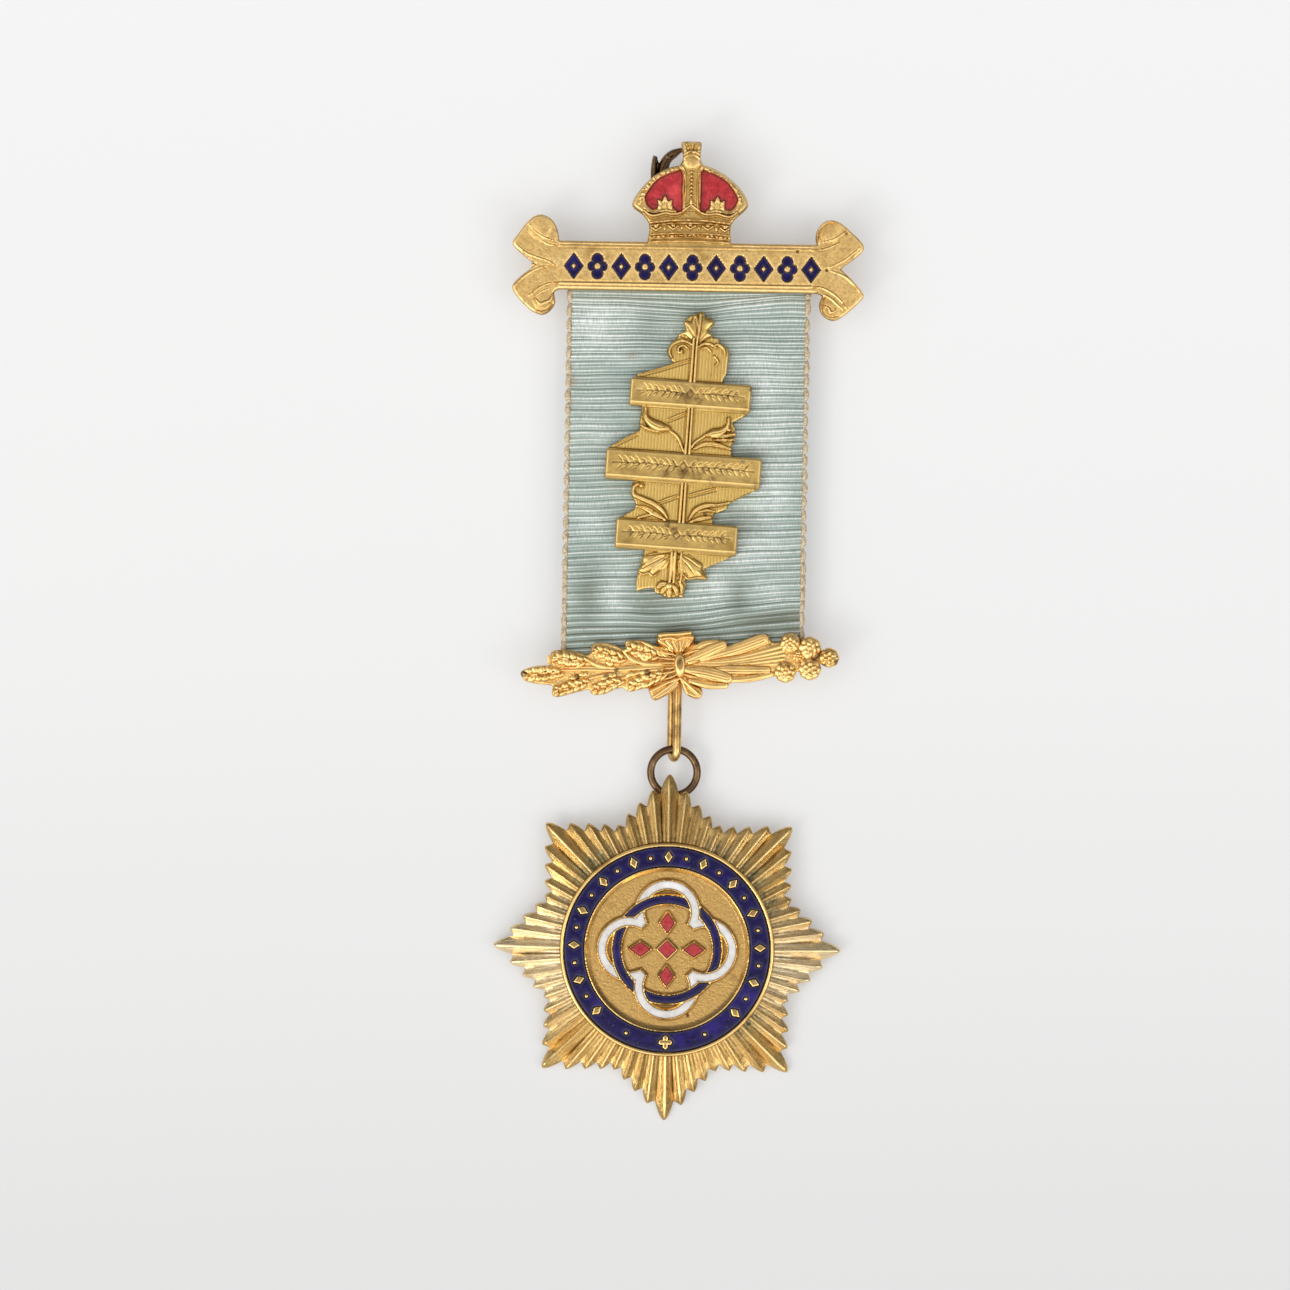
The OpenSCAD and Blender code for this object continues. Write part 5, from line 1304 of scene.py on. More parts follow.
def make_roundel_enamel():
    fired("ring_enamel", ring_distance, (-14, -14), (14, 14), 0.13, DISC_TOP - 0.03, RING_FLOOR + 0.05,
          STAR_PLACE, navy, "enamel_navy")
    for k in range(1, 5):
        knot_cell(f"knot_white_{k}", lambda x, y, k=k: quarter(x, y, white_part, 90 * k + CROSS_ANGLE), 9.2,
                  white, "enamel_white")
        knot_cell(f"knot_blue_{k}", lambda x, y, k=k: quarter(x, y, blue_part, 90 * k - CROSS_ANGLE), 9.2,
                  navy, "enamel_navy")
    for k in range(1, 6):
        knot_cell(f"knot_red_{k}", lambda x, y, k=k: red_shape(x, y, k), 5.2, red, "enamel_red")


# Browned hook behind the crown
HOOK_OUTLINE = [(-4.5, 55.0), (-4.45, 60.6), (-4.5, 61.8), (-4.3, 62.5), (-3.9, 62.35), (-3.6, 61.6),
                (-3.3, 61.2), (-2.9, 60.6), (-2.2, 58.9), (-1.7, 55.0)]
HOOK_CURL = [(-3.1, 59.2), (-2.95, 60.8), (-2.65, 61.75), (-2.1, 62.4), (-1.35, 62.9), (-0.75, 63.2)]
HOOK_BACK, HOOK_PLATE = 2.92, 3.45


def make_back_hook():
    r = Relief((-5.2, 54.8), (0.2, 64.3), 0.06, HOOK_PLATE, HOOK_PLATE)
    r.outline(HOOK_OUTLINE)
    r.bead([(-4.2, 59.0), (-4.2, 61.4), (-4.0, 62.1)], 0.42, 0.5, 0.4, taper=(1, 1, 0.6), solid=True)
    r.bead(HOOK_CURL, 0.74, 0.55, 0.7, taper=(1.1, 1, 0.95, 0.85, 0.8, 0.45), solid=True)
    r.groove([(-3.75, 59.5), (-3.7, 61.6)], 0.3, 0.25)
    r.groove([(-3.0, 60.5), (-2.5, 61.6), (-1.8, 62.35)], 0.16, 0.12)
    r.bead([(-2.6, 62.3), (-2.0, 62.0), (-1.5, 62.4)], 0.14, 0.6, 0.2)
    finish_piece(r.build("back_hook_bent", HOOK_BACK, rounding=0.3), brown, "brown_metal", "back_hook")


# Spray bar, in its own frame: x along the bar, y up, from the middle of the knot
SPRAY_BACK = 3.8
# silhouette of the plate without its flowers and bow
SPRAY_OUTLINE = [
    (-20.85, -0.03), (-20.49, 0.43), (-19.38, 0.81), (-18.06, 0.93), (-16.95, 0.92), (-16.78, 1.54),
    (-16.8, 2.2), (-16.58, 2.65), (-15.92, 2.81), (-14.9, 2.8), (-13.89, 2.6), (-12.89, 2.28), (-12.1, 1.98),
    (-11.5, 2.3), (-11.47, 2.79), (-11.23, 3.28), (-10.63, 3.5), (-9.47, 3.41), (-8.33, 3.05), (-7.5, 2.6),
    (-7.1, 2.6), (-7.0, 3.27), (-6.69, 3.55), (-5.67, 3.57), (-4.66, 3.48), (-3.94, 3.2), (-2.7, 2.55),
    (0, 2.2), (2.1, 2.6), (3.05, 3.05), (4.8, 3.08), (5.81, 2.94), (6.23, 2.7), (6.3, 2.25), (6.93, 2.25),
    (7.68, 2.48), (9.02, 2.99), (10.5, 3.47), (11.38, 3.45), (11.9, 3.12), (12.0, 2.61), (12.3, 2.31),
    (13.6, 2.2), (14.7, 2.1), (17.2, 1.2), (18.9, 0.3), (18.9, -0.6), (17.0, -1.4), (13.7, -2.0),
    (11.65, -2.26), (10.46, -2.6), (8.71, -2.75), (6.96, -2.7), (6.35, -2.84), (6.05, -3.3), (5.7, -3.45),
    (4.44, -3.4), (2.99, -3.2), (1.2, -2.6), (0, -2.2), (-2.0, -2.3), (-4.2, -2.85), (-5.0, -2.9),
    (-6.48, -3.17), (-7.05, -3.07), (-7.6, -2.62), (-8.64, -2.76), (-9.84, -3.26), (-11.01, -3.37),
    (-11.7, -3.2), (-12.0, -2.62), (-12.72, -2.69), (-13.9, -2.91), (-15.22, -3.21), (-16.25, -3.35),
    (-16.75, -3.15), (-16.9, -2.7), (-16.75, -1.9), (-17.33, -1.68), (-18.78, -1.48), (-20.07, -1.12),
    (-20.6, -0.6)]
# each wheat ear: tip, base, half width
SPRAY_EARS = [
    ((-20.85, -0.1), (-15.4, -0.2), 1.2), ((-16.75, 2.0), (-11.9, 1.0), 1.02),
    ((-16.9, -2.75), (-12.0, -1.55), 0.92), ((-11.4, 2.75), (-7.0, 1.05), 1.0),
    ((-11.9, -2.9), (-7.4, -1.5), 0.95), ((-7.0, 2.85), (-2.2, 1.1), 1.0),
    ((-7.1, -2.6), (-1.9, -1.05), 1.0)]
# an ear's width along it, from its tip: share of its length, share of its half width
EAR_SHAPE = [(0.0, 0.25), (0.08, 0.62), (0.25, 0.92), (0.45, 1.0), (0.70, 0.88), (0.88, 0.62), (1.0, 0.4)]
KERNEL_PITCH = 0.92
# each stalk or leaf: path, radius, crest, taper
SPRAY_LEAVES = [
    ([(-15.6, 0.1), (-12.3, 0.05), (-9.0, -0.2), (-5.0, -0.15), (-0.9, -0.1)], 0.28, 1.05, (0.6, 1, 1, 1)),
    ([(-15.2, 0.45), (-12.3, 0.38), (-9.0, 0.12), (-5.0, 0.12), (-0.9, 0.1)], 0.22, 1.02, (0.5, 1, 1, 1)),
    ([(-12.4, 1.6), (-11.4, 0.92), (-10.1, 0.38), (-8.4, 0.05)], 0.30, 1.10, (0.6, 1, 1, 0.5)),
    ([(-7.3, 2.2), (-6.4, 1.25), (-5.2, 0.65), (-3.8, 0.35),
      (-1.2, 0.25)], 0.32, 1.15, (0.6, 1, 1, 0.8, 0.7)),
    ([(-13.5, -1.75), (-11.4, -1.0), (-8.5, -0.55)], 0.26, 1.05, (0.5, 1, 0.6)),
    ([(-9.2, -1.95), (-7.1, -1.2), (-4.9, -0.6), (-2.0, -0.4)], 0.26, 1.08, (0.5, 1, 1, 0.8)),
    ([(-16.8, 1.3), (-14.8, 1.02), (-13.0, 0.85)], 0.16, 1.08, (0.5, 1, 0.6)),
    ([(-4.8, 3.25), (-3.6, 2.7), (-2.6, 1.9), (-1.2, 0.9)], 0.30, 1.22, (0.5, 1, 1, 0.8))]
# each blade of the leaves: path, half width, crest, taper
SPRAY_BLADES = [
    ([(0.9, 0.15), (7.0, 0.45), (13.6, 1.75)], 0.32, 1.00, (0.5, 1, 0.9)),
    ([(0.9, 0.1), (7.0, 0.15), (13.6, 1.15)], 0.32, 1.03, (0.5, 1, 0.9)),
    ([(0.9, 0.05), (7.0, -0.12), (13.6, 0.6)], 0.32, 1.0, (0.5, 1, 0.9)),
    ([(0.9, 0.0), (7.0, -0.38), (13.4, 0.05)], 0.32, 1.03, (0.5, 1, 0.9)),
    ([(0.9, -0.1), (7.0, -0.62), (13.0, -0.5)], 0.30, 0.98, (0.5, 1, 0.9)),
    ([(6.2, -2.35), (9.0, -2.3), (11.8, -1.9)], 0.50, 1.12, (0.7, 1, 0.75)),
    ([(4.2, -0.75), (7.2, -1.0), (9.4, -1.15), (11.4, -1.25)], 0.60, 1.22, (0.4, 1, 1, 0.7)),
    ([(1.2, -2.2), (3.7, -2.9), (5.8, -3.05)], 0.50, 1.10, (0.6, 1, 0.8)),
    ([(0.8, -0.7), (3.1, -1.15), (5.0, -1.7), (6.1, -2.05)], 0.86, 1.40, (0.4, 0.85, 1, 0.75)),
    ([(1.2, 1.4), (3.2, 2.5), (4.9, 2.75)], 0.46, 1.12, (0.6, 1, 0.8)),
    ([(1.2, 0.1), (4.4, 0.95), (7.8, 1.75), (11.0, 2.72)], 0.86, 1.22, (0.2, 0.5, 0.95, 0.95)),
    ([(0.8, 0.5), (2.8, 1.2), (4.7, 1.95), (5.8, 2.3)], 0.68, 1.36, (0.4, 0.9, 1, 0.8))]
# small leaves that fill the lower middle: place and turn
SPRAY_SMALL = [
    (-6.6, -0.9, 200), (-5.7, -1.5, 215), (-4.6, -0.75, 195), (-3.6, -1.35, 210), (-2.8, -0.8, 190),
    (-2.4, -1.6, 225), (-13.9, -0.9, 195), (-12.7, -0.55, 185), (-9.9, -1.15, 200), (-8.9, -0.9, 190),
    (-13.2, 0.75, 170), (-9.2, 0.75, 160), (-4.6, 1.1, 165), (-3.2, 1.15, 160)]
# each flower: place and radius
SPRAY_FLOWERS = [
    (15.5, 0.4, 0.95), (14.55, 2.12, 1.30), (17.1, 1.3, 1.5), (13.72, -1.7, 1.42), (16.95, -1.45, 1.5),
    (19.55, -0.12, 1.32)]
SPRAY_SPOTS = [
    ((-20.5, -0.1), 1.0, 1.0), ((-14.1, 1.3), 0.6, 0.6), ((-13.5, -0.85), 0.6, 1.0), ((-8.3, -0.2), 0.6, 1.0),
    ((-9.6, -0.9), 0.6, 0.9), ((-4.3, -0.7), 0.7, 1.0), ((20.6, -0.9), 0.8, 0.9), ((18.0, 0.2), 0.7, 1.0),
    ((17.5, -0.1), 0.6, 0.9), ((18.7, -1.2), 0.7, 0.9), ((14.1, -1.1), 0.5, 0.7), ((15.5, -0.5), 0.6, 0.5),
    ((-15.6, 2.3), 0.7, 0.5), ((-10.9, 3.1), 0.6, 0.5)]
BOW_LOOP = [
    (-2.4, 4.35), (-0.3, 4.3), (1.6, 4.4), (2.0, 3.9), (2.2, 3.1), (1.4, 2.2), (0.6, 1.5), (-0.9, 1.5),
    (-1.9, 2.3), (-2.9, 3.0), (-2.8, 3.8)]
BOW_TAILS = [
    [(-0.7, -1.4), (-2.6, -2.4), (-4.2, -2.9), (-4.1, -3.7), (-3.6, -4.5), (-2.4, -4.1), (-1.2, -3.4),
      (-0.1, -2.4)],
    [(-0.2, -1.8), (0.1, -2.6), (0.3, -3.4), (1.0, -4.2), (2.0, -4.6), (2.65, -4.3), (2.7, -3.3),
      (1.3, -2.5), (0.7, -1.4)]]
BOW_RIBS = [[(-3.9, -3.2), (-3.6, -4.0)], [(0.8, -3.8), (2.2, -3.9)]]


def spray_relief():
    r = Relief((-21.4, -5.0), (21.6, 4.9), 0.065, SPRAY_BACK + 0.86, SPRAY_BACK)
    r.outline(smooth_line(SPRAY_OUTLINE, 3, closed=True))
    draw = np.random.default_rng(7)
    r.stipple(0.012, 23)
    for path, radius, crest, taper in SPRAY_LEAVES:
        r.bead(path, radius, crest, 0.22, taper=taper)
    for path, half, crest, taper in SPRAY_BLADES:
        blade(r, path, half, crest, taper)
    for x, y, turn in SPRAY_SMALL:
        r.grain((x, y), 0.62, 0.36, turn, 1.16, 0.25, point=0.3)
    for tip, foot, half in SPRAY_EARS:
        wheat_ear(r, np.array(tip), np.array(foot), half, draw)
    for x, y, radius in SPRAY_FLOWERS:
        flower_head(r, x, y, radius, draw)
    bow(r)
    r.spots(*SPRAY_SPOTS)
    return r


def blade(r, path, half, crest, taper):
    """A leaf blade with a low rounded body, fine flutes along it and a raised line beside one edge."""
    line = smooth_line(path)
    w = r.window(line, half + 0.2)
    d, along = path_distance(r.x[w], r.y[w], line)
    wide = tapered(half, along, taper)
    q = np.clip(d / wide, 0, 1)
    top = r.level + crest - 0.20 * q ** 3 + 0.022 * np.cos(2 * math.pi * d / 0.36) * (1 - q ** 4)
    top += 0.05 * bell(d, 0.84 * wide, 0.10)
    r.z[w] = np.where(d < wide, np.maximum(top, r.z[w] - 0.15 * (1 - q)), r.z[w])
    r.widen(w, d - wide)


def wheat_ear(r, tip, foot, half, draw):
    """An ear: a low smooth body, and two rows of overlapping kernels that lean out towards its tip."""
    length = np.linalg.norm(foot - tip)
    way = (foot - tip) / length
    across = np.array([-way[1], way[0]])
    turn = math.degrees(math.atan2(way[1], way[0])) + 180
    shares, widths = zip(*EAR_SHAPE)
    sides = [[tip + length * t * way + side * w * half * across for t, w in EAR_SHAPE] for side in (1, -1)]
    body = smooth_line(sides[0] + sides[1][::-1], 3, closed=True)
    w = r.window(body, 0.2)
    d = polygon(r.x[w], r.y[w], body)
    r.raise_to(w, d < 0, r.level + 0.86 + 0.22 * (1 - rim_fade(d, 0.45)))
    for k in range(int(length / KERNEL_PITCH), -1, -1):
        for side in (-1, 1):
            t = (0.55 + KERNEL_PITCH * (k + 0.5 * (side > 0))) / length
            if t > 0.97:
                continue
            wide = half * np.interp(t, shares, widths)
            at = tip + way * t * length + across * side * (0.48 * wide + draw.uniform(-0.05, 0.05))
            r.grain(at, draw.uniform(0.52, 0.70), max(0.46 * wide * draw.uniform(0.8, 1.15), 0.26),
                    turn - side * draw.uniform(14, 42), 1.32 + draw.uniform(-0.10, 0.14), 0.36,
                    point=draw.uniform(0, 0.25))
    for k in range(int(length / 1.3)):
        at = tip + way * (0.6 + 1.3 * k) + across * draw.uniform(-0.12, 0.12)
        r.grain(at, 0.46, 0.20, turn + draw.uniform(-18, 18), 1.40 + draw.uniform(-0.05, 0.06), 0.26,
                point=0.2)


def flower_head(r, x, y, radius, draw):
    """A round head: a scalloped dome, a ring of florets and one in the middle, all shallow."""
    w = r.window([(x - radius, y - radius), (x + radius, y + radius)], 0.3)
    out = np.hypot(r.x[w] - x, r.y[w] - y)
    start = draw.uniform(0, 1)
    scallop = np.abs(np.cos(np.arctan2(r.y[w] - y, r.x[w] - x) * 4 + start))
    d = out - radius * (0.95 + 0.05 * scallop)
    r.widen(w, d)
    dome = r.level + 1.32 - 0.34 * (out / radius) ** 3
    dome += 0.14 * (scallop - 0.6) * step_between(0.40, 0.62, out / radius)
    r.z[w] = np.where(d < 0, np.maximum(dome, r.z[w] - 0.1), r.z[w])
    for k in range(6):
        a = 2 * math.pi * k / 6 + start
        place = draw.uniform(0.36, 0.50) * radius
        r.grain((x + place * math.cos(a), y + place * math.sin(a)), draw.uniform(0.20, 0.30) * radius,
                draw.uniform(0.15, 0.21) * radius, math.degrees(a) + draw.uniform(-30, 120),
                1.46 + draw.uniform(-0.06, 0.05), 0.2)
        if k % 2:
            far = 0.60 * radius
            r.spots(((x + far * math.cos(a + 0.5), y + far * math.sin(a + 0.5)), 0.15 * radius, 0.6))
    r.grain((x, y), 0.20 * radius, 0.20 * radius, 0, 1.5, 0.2)


def bow(r):
    """Loop above the knot, two tails below it and the knot itself."""
    r.patch(smooth_line(BOW_LOOP, 3, closed=True), 1.25, 0.35, solid=True)
    r.bead([(-2.4, 4.0), (-1.2, 4.1), (0, 4.05), (1.6, 4.15)], 0.3, 1.5, 0.3)
    r.bead([(-2.3, 3.5), (-1.0, 3.6), (-0.1, 3.3), (0.8, 3.6), (1.9, 3.5)], 0.22, 1.55, 0.3)
    for x in (-1.5, -0.8, 0, 0.8, 1.4):
        r.groove([(x * 1.2, 3.2), (x * 0.45, 1.7)], 0.15, 0.16)
    for side, x in ((-1, -2.8), (1, 2.1)):
        r.groove([(x, 3.1), (side * 1.2, 2.1), (side * 0.6, 1.6)], 0.2, 0.14)
    for tail, ribs in zip(BOW_TAILS, BOW_RIBS):
        r.patch(smooth_line(tail, 3, closed=True), 1.2, 0.3, solid=True)
        for x, y in ribs:
            r.bead([(0.0, -1.7), (x * 0.5, y * 0.72), (x, y)], 0.26, 1.42, 0.3, taper=(0.5, 1, 0.9))
    for side in (-1, 1):
        for lean in (0.35, 0.9, 1.6):
            r.bead([(side * 0.5, lean * 0.8), (side * 1.5, lean), (side * 2.6, lean * 1.15)], 0.22, 1.35, 0.3,
                   taper=(0.5, 1, 0.5))
            r.bead([(side * 0.5, -lean * 0.8), (side * 1.4, -lean), (side * 2.2, -lean * 1.1)],
                   0.22, 1.3, 0.3, taper=(0.5, 1, 0.5))
    r.grain((0, 0), 0.95, 1.75, 0, 1.75, 0.9, solid=True)
    # a dark hollow in the knot
    w = r.window([(0, 0)], 2)
    q = ((r.x[w] - 0.05) / 0.55) ** 2 + ((r.y[w] - 0.25) / 0.95) ** 2
    r.z[w] -= 0.15 * np.clip(1 - q, 0, 1)
    r.stain[w] = np.maximum(r.stain[w], 0.95 * np.clip(1.4 - 1.4 * q, 0, 1))


def spray_hardware():
    """Ribbon rod and the staple that carries the bail."""
    staple = [(-2.5, 4.2), (-2.5, 2.3), (-2.3, 1.95), (-2.0, 1.8),
              (1.0, 1.8), (1.3, 1.95), (1.5, 2.3), (1.5, 4.2)]
    return [*rod_parts(RIBBON_X - SPRAY_AT[0], 1.6, 2.1, 4.0),
            tube_part(smooth_line([(x, -2.1, z) for x, z in staple], 4), 0.45)]


def make_spray_bar():
    place = place_at(SPRAY_AT, SPRAY_TURN)
    obj = spray_relief().build("spray_bar_struck", SPRAY_BACK, rounding=0.25, place=place,
                               more=spray_hardware(), hollow_cells=3)
    finish_piece(obj, bright, "gilt_bright", "spray_bar")


# Star, in its own frame: angles run from the top ray towards +x
RAYS_MAIN, RAYS_BETWEEN = 8, 7
EIGHTH = 360 / RAYS_MAIN
MAIN_HALF = 3.4
SUB_HALF = (EIGHTH - 2 * MAIN_HALF) / RAYS_BETWEEN / 2
# lines of the grid across each ray and out along it, and the radius where it starts
RAY_LINES, STAR_RINGS, STAR_SEAT = 18, 44, 13.2
HUB_TOP, TIP_TOP = 1.45, 0.32
EYELET_X, EYELET_Y, EYELET_WIRE = 0.52, 20.1, 0.35
# verdigris beside the roundel: middle angle, width and strength
STAR_GREEN = [
    (-42, 13, 1.0), (-68, 7, 0.5), (28, 8, 0.7), (50, 9, 0.9), (66, 8, 0.9), (132, 10, 0.8), (-118, 8, 0.3),
    (98, 7, 0.3)]
# painted light and shade by bearing round the star, lighter at the sides and darker at the top and bottom:
# centre, spread, and painted shade below zero or painted light above it
STAR_LIGHT_BY_BEARING = [(0, 32, -0.8), (-34, 16, -0.3), (40, 18, -0.2), (-95, 26, 0.95), (98, 22, 1.0), (180, 30, -1.0),
             (-150, 14, -0.1)]


def off_ray(angle):
    """Degrees from an angle to the nearest long ray."""
    return np.abs((angle + EIGHTH / 2) % EIGHTH - EIGHTH / 2)


def star_reach(off):
    """Radius that the ray tips follow, at an angle off the nearest long ray."""
    return 0.7085 * STAR_R / np.cos(np.radians(EIGHTH - np.abs(off)))


def by_bearing(angle, table):
    """Rows of strength round the star, one for each patch in a table."""
    return [amount * bell((angle - centre + 180) % 360 - 180, 0, width) for centre, width, amount in table]


def star_rays():
    """Lines of the polar grid, as columns: angle, place across the ray, whether it is a long ray, and the
    ray's reach, rise, skew and strength of its creases."""
    draw = np.random.default_rng(3)
    rows = []
    for m in range(RAYS_MAIN):
        for k in range(RAYS_BETWEEN + 1):
            half = MAIN_HALF if k == 0 else SUB_HALF
            mid = EIGHTH * m + (0 if k == 0 else MAIN_HALF + (2 * k - 1) * SUB_HALF)
            reach = STAR_R if k == 0 else star_reach(off_ray(mid)) + draw.uniform(-0.15, 0.10)
            traits = draw.uniform(-0.05, 0.05), draw.uniform(-0.16, 0.16), draw.uniform(0.3, 1.0)
            places = np.arange(RAY_LINES) * 2 / RAY_LINES - 1
            rows += [(mid + half * t, t, k == 0, reach, *traits) for t in places]
    return np.array(rows, float).T[:, :, None]


def star_surface(rays):
    """A ridge for each ray, with a pointed tip, falling from the roundel outwards: radius and height of the
    grid, and the point attributes."""
    angle, t, main, reach, rise, skew, mark = rays
    main = main > 0
    valley = np.where(main, star_reach(MAIN_HALF), star_reach(off_ray(angle))) * 0.955 - 0.35
    outer = valley + (reach - valley) * (1 - np.abs(t) ** np.where(main, 1.7, 1.5))
    share = np.linspace(0, 1, STAR_RINGS) ** 0.8
    radius = STAR_SEAT + (outer - STAR_SEAT) * share
    line = STAR_SEAT + (reach - STAR_SEAT) * share
    f = (radius - STAR_SEAT) / (STAR_R - STAR_SEAT)
    lean = t - skew * (1 - np.abs(t))
    ridge = np.abs(lean) ** np.where(main, 1.0, 0.95)
    depth = np.where(main, 0.92, 0.66) * (0.62 + 0.45 * f)
    # near the roundel a crease on each flank and a fine line up each valley, further out a facet on the right
    fade = 1 - step_between(0.1, 0.5, f)
    crease = 0.09 * mark * bell(np.abs(lean), 0.52, 0.10) * fade
    facet = 0.03 * step_between(0.1, 0.5, lean) * step_between(0.2, 0.6, f)
    seam = 0.16 * mark * bell(np.abs(t), 0.97, 0.10) * fade
    tip = np.clip((reach - line) / 1.3, 0, 1)
    blunt = 0.42 * round_drop(1 - tip) * (1 - ridge)
    z = np.maximum(2.42 - 1.45 * f + rise - depth * ridge - crease - facet + seam - blunt, TIP_TOP)
    # painted shade with grime between the rays, a painted highlight along each ridge and at the tips, a brown
    # darkening beside the roundel that is stronger in the upper half and towards the valleys, and verdigris
    # in patches there
    sunk = np.clip((np.abs(t) - 0.66) * 3.2, 0, 1) * (0.55 + 0.45 * (1 - f))
    # painted highlight along the ridge of each ray
    sunk = np.where(np.abs(lean) < 0.10, -0.6, sunk)
    # painted highlight at the tips
    sunk = np.where(line / reach > 0.93, -0.15, sunk)
    upper = step_between(-0.5, 0.6, np.cos(np.radians(angle)))
    stain = (0.42 + 0.25 * upper) * (1 - step_between(14.0, 17.0, radius)) * (0.25 + 0.75 * ridge)
    patches = np.maximum.reduce(by_bearing(angle, STAR_GREEN))
    green = np.clip(patches * (1 - step_between(14.0, 17.4, radius)) * (0.55 + 1.1 * ridge), 0, 1)
    # painted light and painted shade round the star, by bearing
    painted_light = np.broadcast_to(sum(by_bearing(angle, STAR_LIGHT_BY_BEARING)), radius.shape)
    return radius, z, {"sunk": sunk, "stain": stain, "green": green, "painted_light": painted_light}


def star_faces(n):
    """Faces of the grid, its wall, its seat and the flat back, for n lines."""
    rings = STAR_RINGS
    low, inner, hub_top, hub_low = n * rings, n * rings + n, n * rings + 2 * n, n * rings + 2 * n + 1
    faces = []
    for i in range(n):
        j = (i + 1) % n
        one, two = i * rings, j * rings
        faces += [[one + k, one + k + 1, two + k + 1, two + k] for k in range(rings - 1)]
        faces.append([one + rings - 1, low + i, low + j, two + rings - 1])
        faces.append([inner + i, one, two, inner + j])
        faces.append([hub_top, inner + i, inner + j])
        faces.append([hub_low, low + j, low + i])
    return faces


def eyelet_part():
    """A loop of wire soldered behind the top ray, level with the surface that the star lies on."""
    lean = math.radians(STAR_LEAN)
    level = 1.37 / math.cos(lean) - (EYELET_Y + STAR_R) * math.sin(lean)
    arc = np.linspace(math.radians(20), math.radians(-200), 25)
    loop = [(EYELET_X, EYELET_Y + math.cos(a), level + math.sin(a)) for a in arc]
    ends = [(EYELET_X, loop[i][1], 0.45) for i in (0, -1)]
    return tube_part([ends[0], *loop, ends[1]], EYELET_WIRE, 12)


def make_star():
    rays = star_rays()
    radius, z, values = star_surface(rays)
    turn = np.radians(rays[0])
    x, y = radius * np.sin(turn), radius * np.cos(turn)
    n = len(turn)
    grid = np.stack([x, y, z], axis=2).reshape(-1, 3)
    low = np.stack([x[:, -1], y[:, -1], np.zeros(n)], axis=1)
    inner = np.stack([x[:, 0] * 0.98, y[:, 0] * 0.98, np.full(n, HUB_TOP)], axis=1)
    body = np.vstack([grid, low, inner, [[0, 0, HUB_TOP], [0, 0, 0]]])
    points, faces = join_parts([(body, star_faces(n)), eyelet_part()])
    uv = np.stack([np.broadcast_to(turn * 18.0, radius.shape).ravel(), radius.ravel()], axis=1)
    obj = add_object("star_struck", points, faces, STAR_PLACE, smooth_angle=62,
                     values={key: field.ravel() for key, field in values.items()}, uv=uv)
    finish_piece(obj, star_gold, "gold_star", "star")


# Ribbon: a band turned round a rod at each end
RIB_PITCH, RIBBON_HALF, RIBBON_THICK = 0.9, 15.5, 0.8
ROD_TOP, ROD_LOW = (45.70, 2.3), (-2.6, 2.1)
BAND_R, FOLD_LEN = 1.2, 12.0
FRONT_LEN = ROD_TOP[0] - ROD_LOW[0]
TURN_LEN = math.pi * BAND_R
BAND_LEN = 2 * FOLD_LEN + 2 * TURN_LEN + FRONT_LEN
BAND_COLUMNS = 36
# rows of each rib, closer together at its crest
RIB_STEPS = np.array([0, 0.05, 0.12, 0.20, 0.27, 0.36, 0.44, 0.52, 0.57, 0.61, 0.66, 0.73, 0.83, 0.93])
# where along a rib its main crest, its second crest and the valley between them lie
CREST_AT, SECOND_AT, BETWEEN_AT = 0.61, 0.12, 0.36
# where the clasp's edges draw the cloth in: place, reach each way, depth
RIBBON_PULLS = [
    ((-10.4, 24.6), (2.2, 0.8), 0.35), ((-9.0, 17.2), (2.4, 0.7), 0.32), ((8.6, 16.2), (2.2, 0.8), 0.30),
    ((-6.4, 33.6), (1.8, 0.8), 0.25), ((7.6, 32.6), (1.6, 1.4), 0.22), ((-8.6, 8.0), (2.2, 0.9), 0.25),
    ((6.2, 7.2), (2.0, 0.9), 0.22), ((-4.0, 39.2), (2.4, 1.1), 0.25), ((5.2, 39.6), (2.6, 1.0), 0.25),
    ((0.4, 2.6), (3.4, 0.9), 0.25)]
# marks on the silk: place, radius, strength
RIBBON_STAINS = [
    ((-14.6, 33.0), 1.3, 0.7), ((-14.9, 30.3), 1.0, 0.8), ((-6.6, 36.3), 0.9, 0.45),
    ((-14.7, 35.2), 0.8, 0.5), ((14.9, -1.5), 1.6, 0.35), ((-8.2, 34.5), 0.5, 0.35)]
# painted highlight where the silk shines, and painted shade where its folds are dark: place, reach each way,
# strength
RIBBON_SHINE = [
    ((-11.0, 39.5), (4.0, 3.6), 0.9), ((-8.5, 41.5), (3.5, 2.5), 0.5), ((9.0, 43.2), (4.5, 1.2), 0.8),
    ((-11.5, 27.5), (2.5, 4.5), 0.35), ((-11.5, 15.0), (2.2, 3.0), 0.4), ((10.5, 33.5), (3.0, 4.5), 0.75),
    ((11.5, 18.0), (3.0, 5.0), 0.8), ((11.0, 26.0), (3.4, 4.0), 0.7), ((9.5, 11.0), (4.0, 3.0), 0.7),
    ((-8.5, 5.5), (1.8, 3.0), 0.65), ((4.5, 5.6), (2.0, 2.6), 0.75), ((11.5, 4.5), (2.2, 2.4), 0.55)]
RIBBON_FOLD_SHADE = [
    ((-11.8, 5.5), (1.8, 4.0), 0.75), ((-3.5, 4.2), (3.0, 3.0), 0.7), ((7.9, 4.0), (1.5, 3.0), 0.7),
    ((8.0, 13.5), (3.0, 2.0), 0.65), ((9.0, 23.2), (3.4, 1.2), 0.6), ((12.5, 0.9), (6.0, 1.1), 1.0),
    ((-1.0, 1.0), (5.0, 0.9), 0.8), ((2.0, 42.2), (3.0, 1.0), 0.6), ((-4.5, 40.6), (2.0, 2.0), 0.5)]


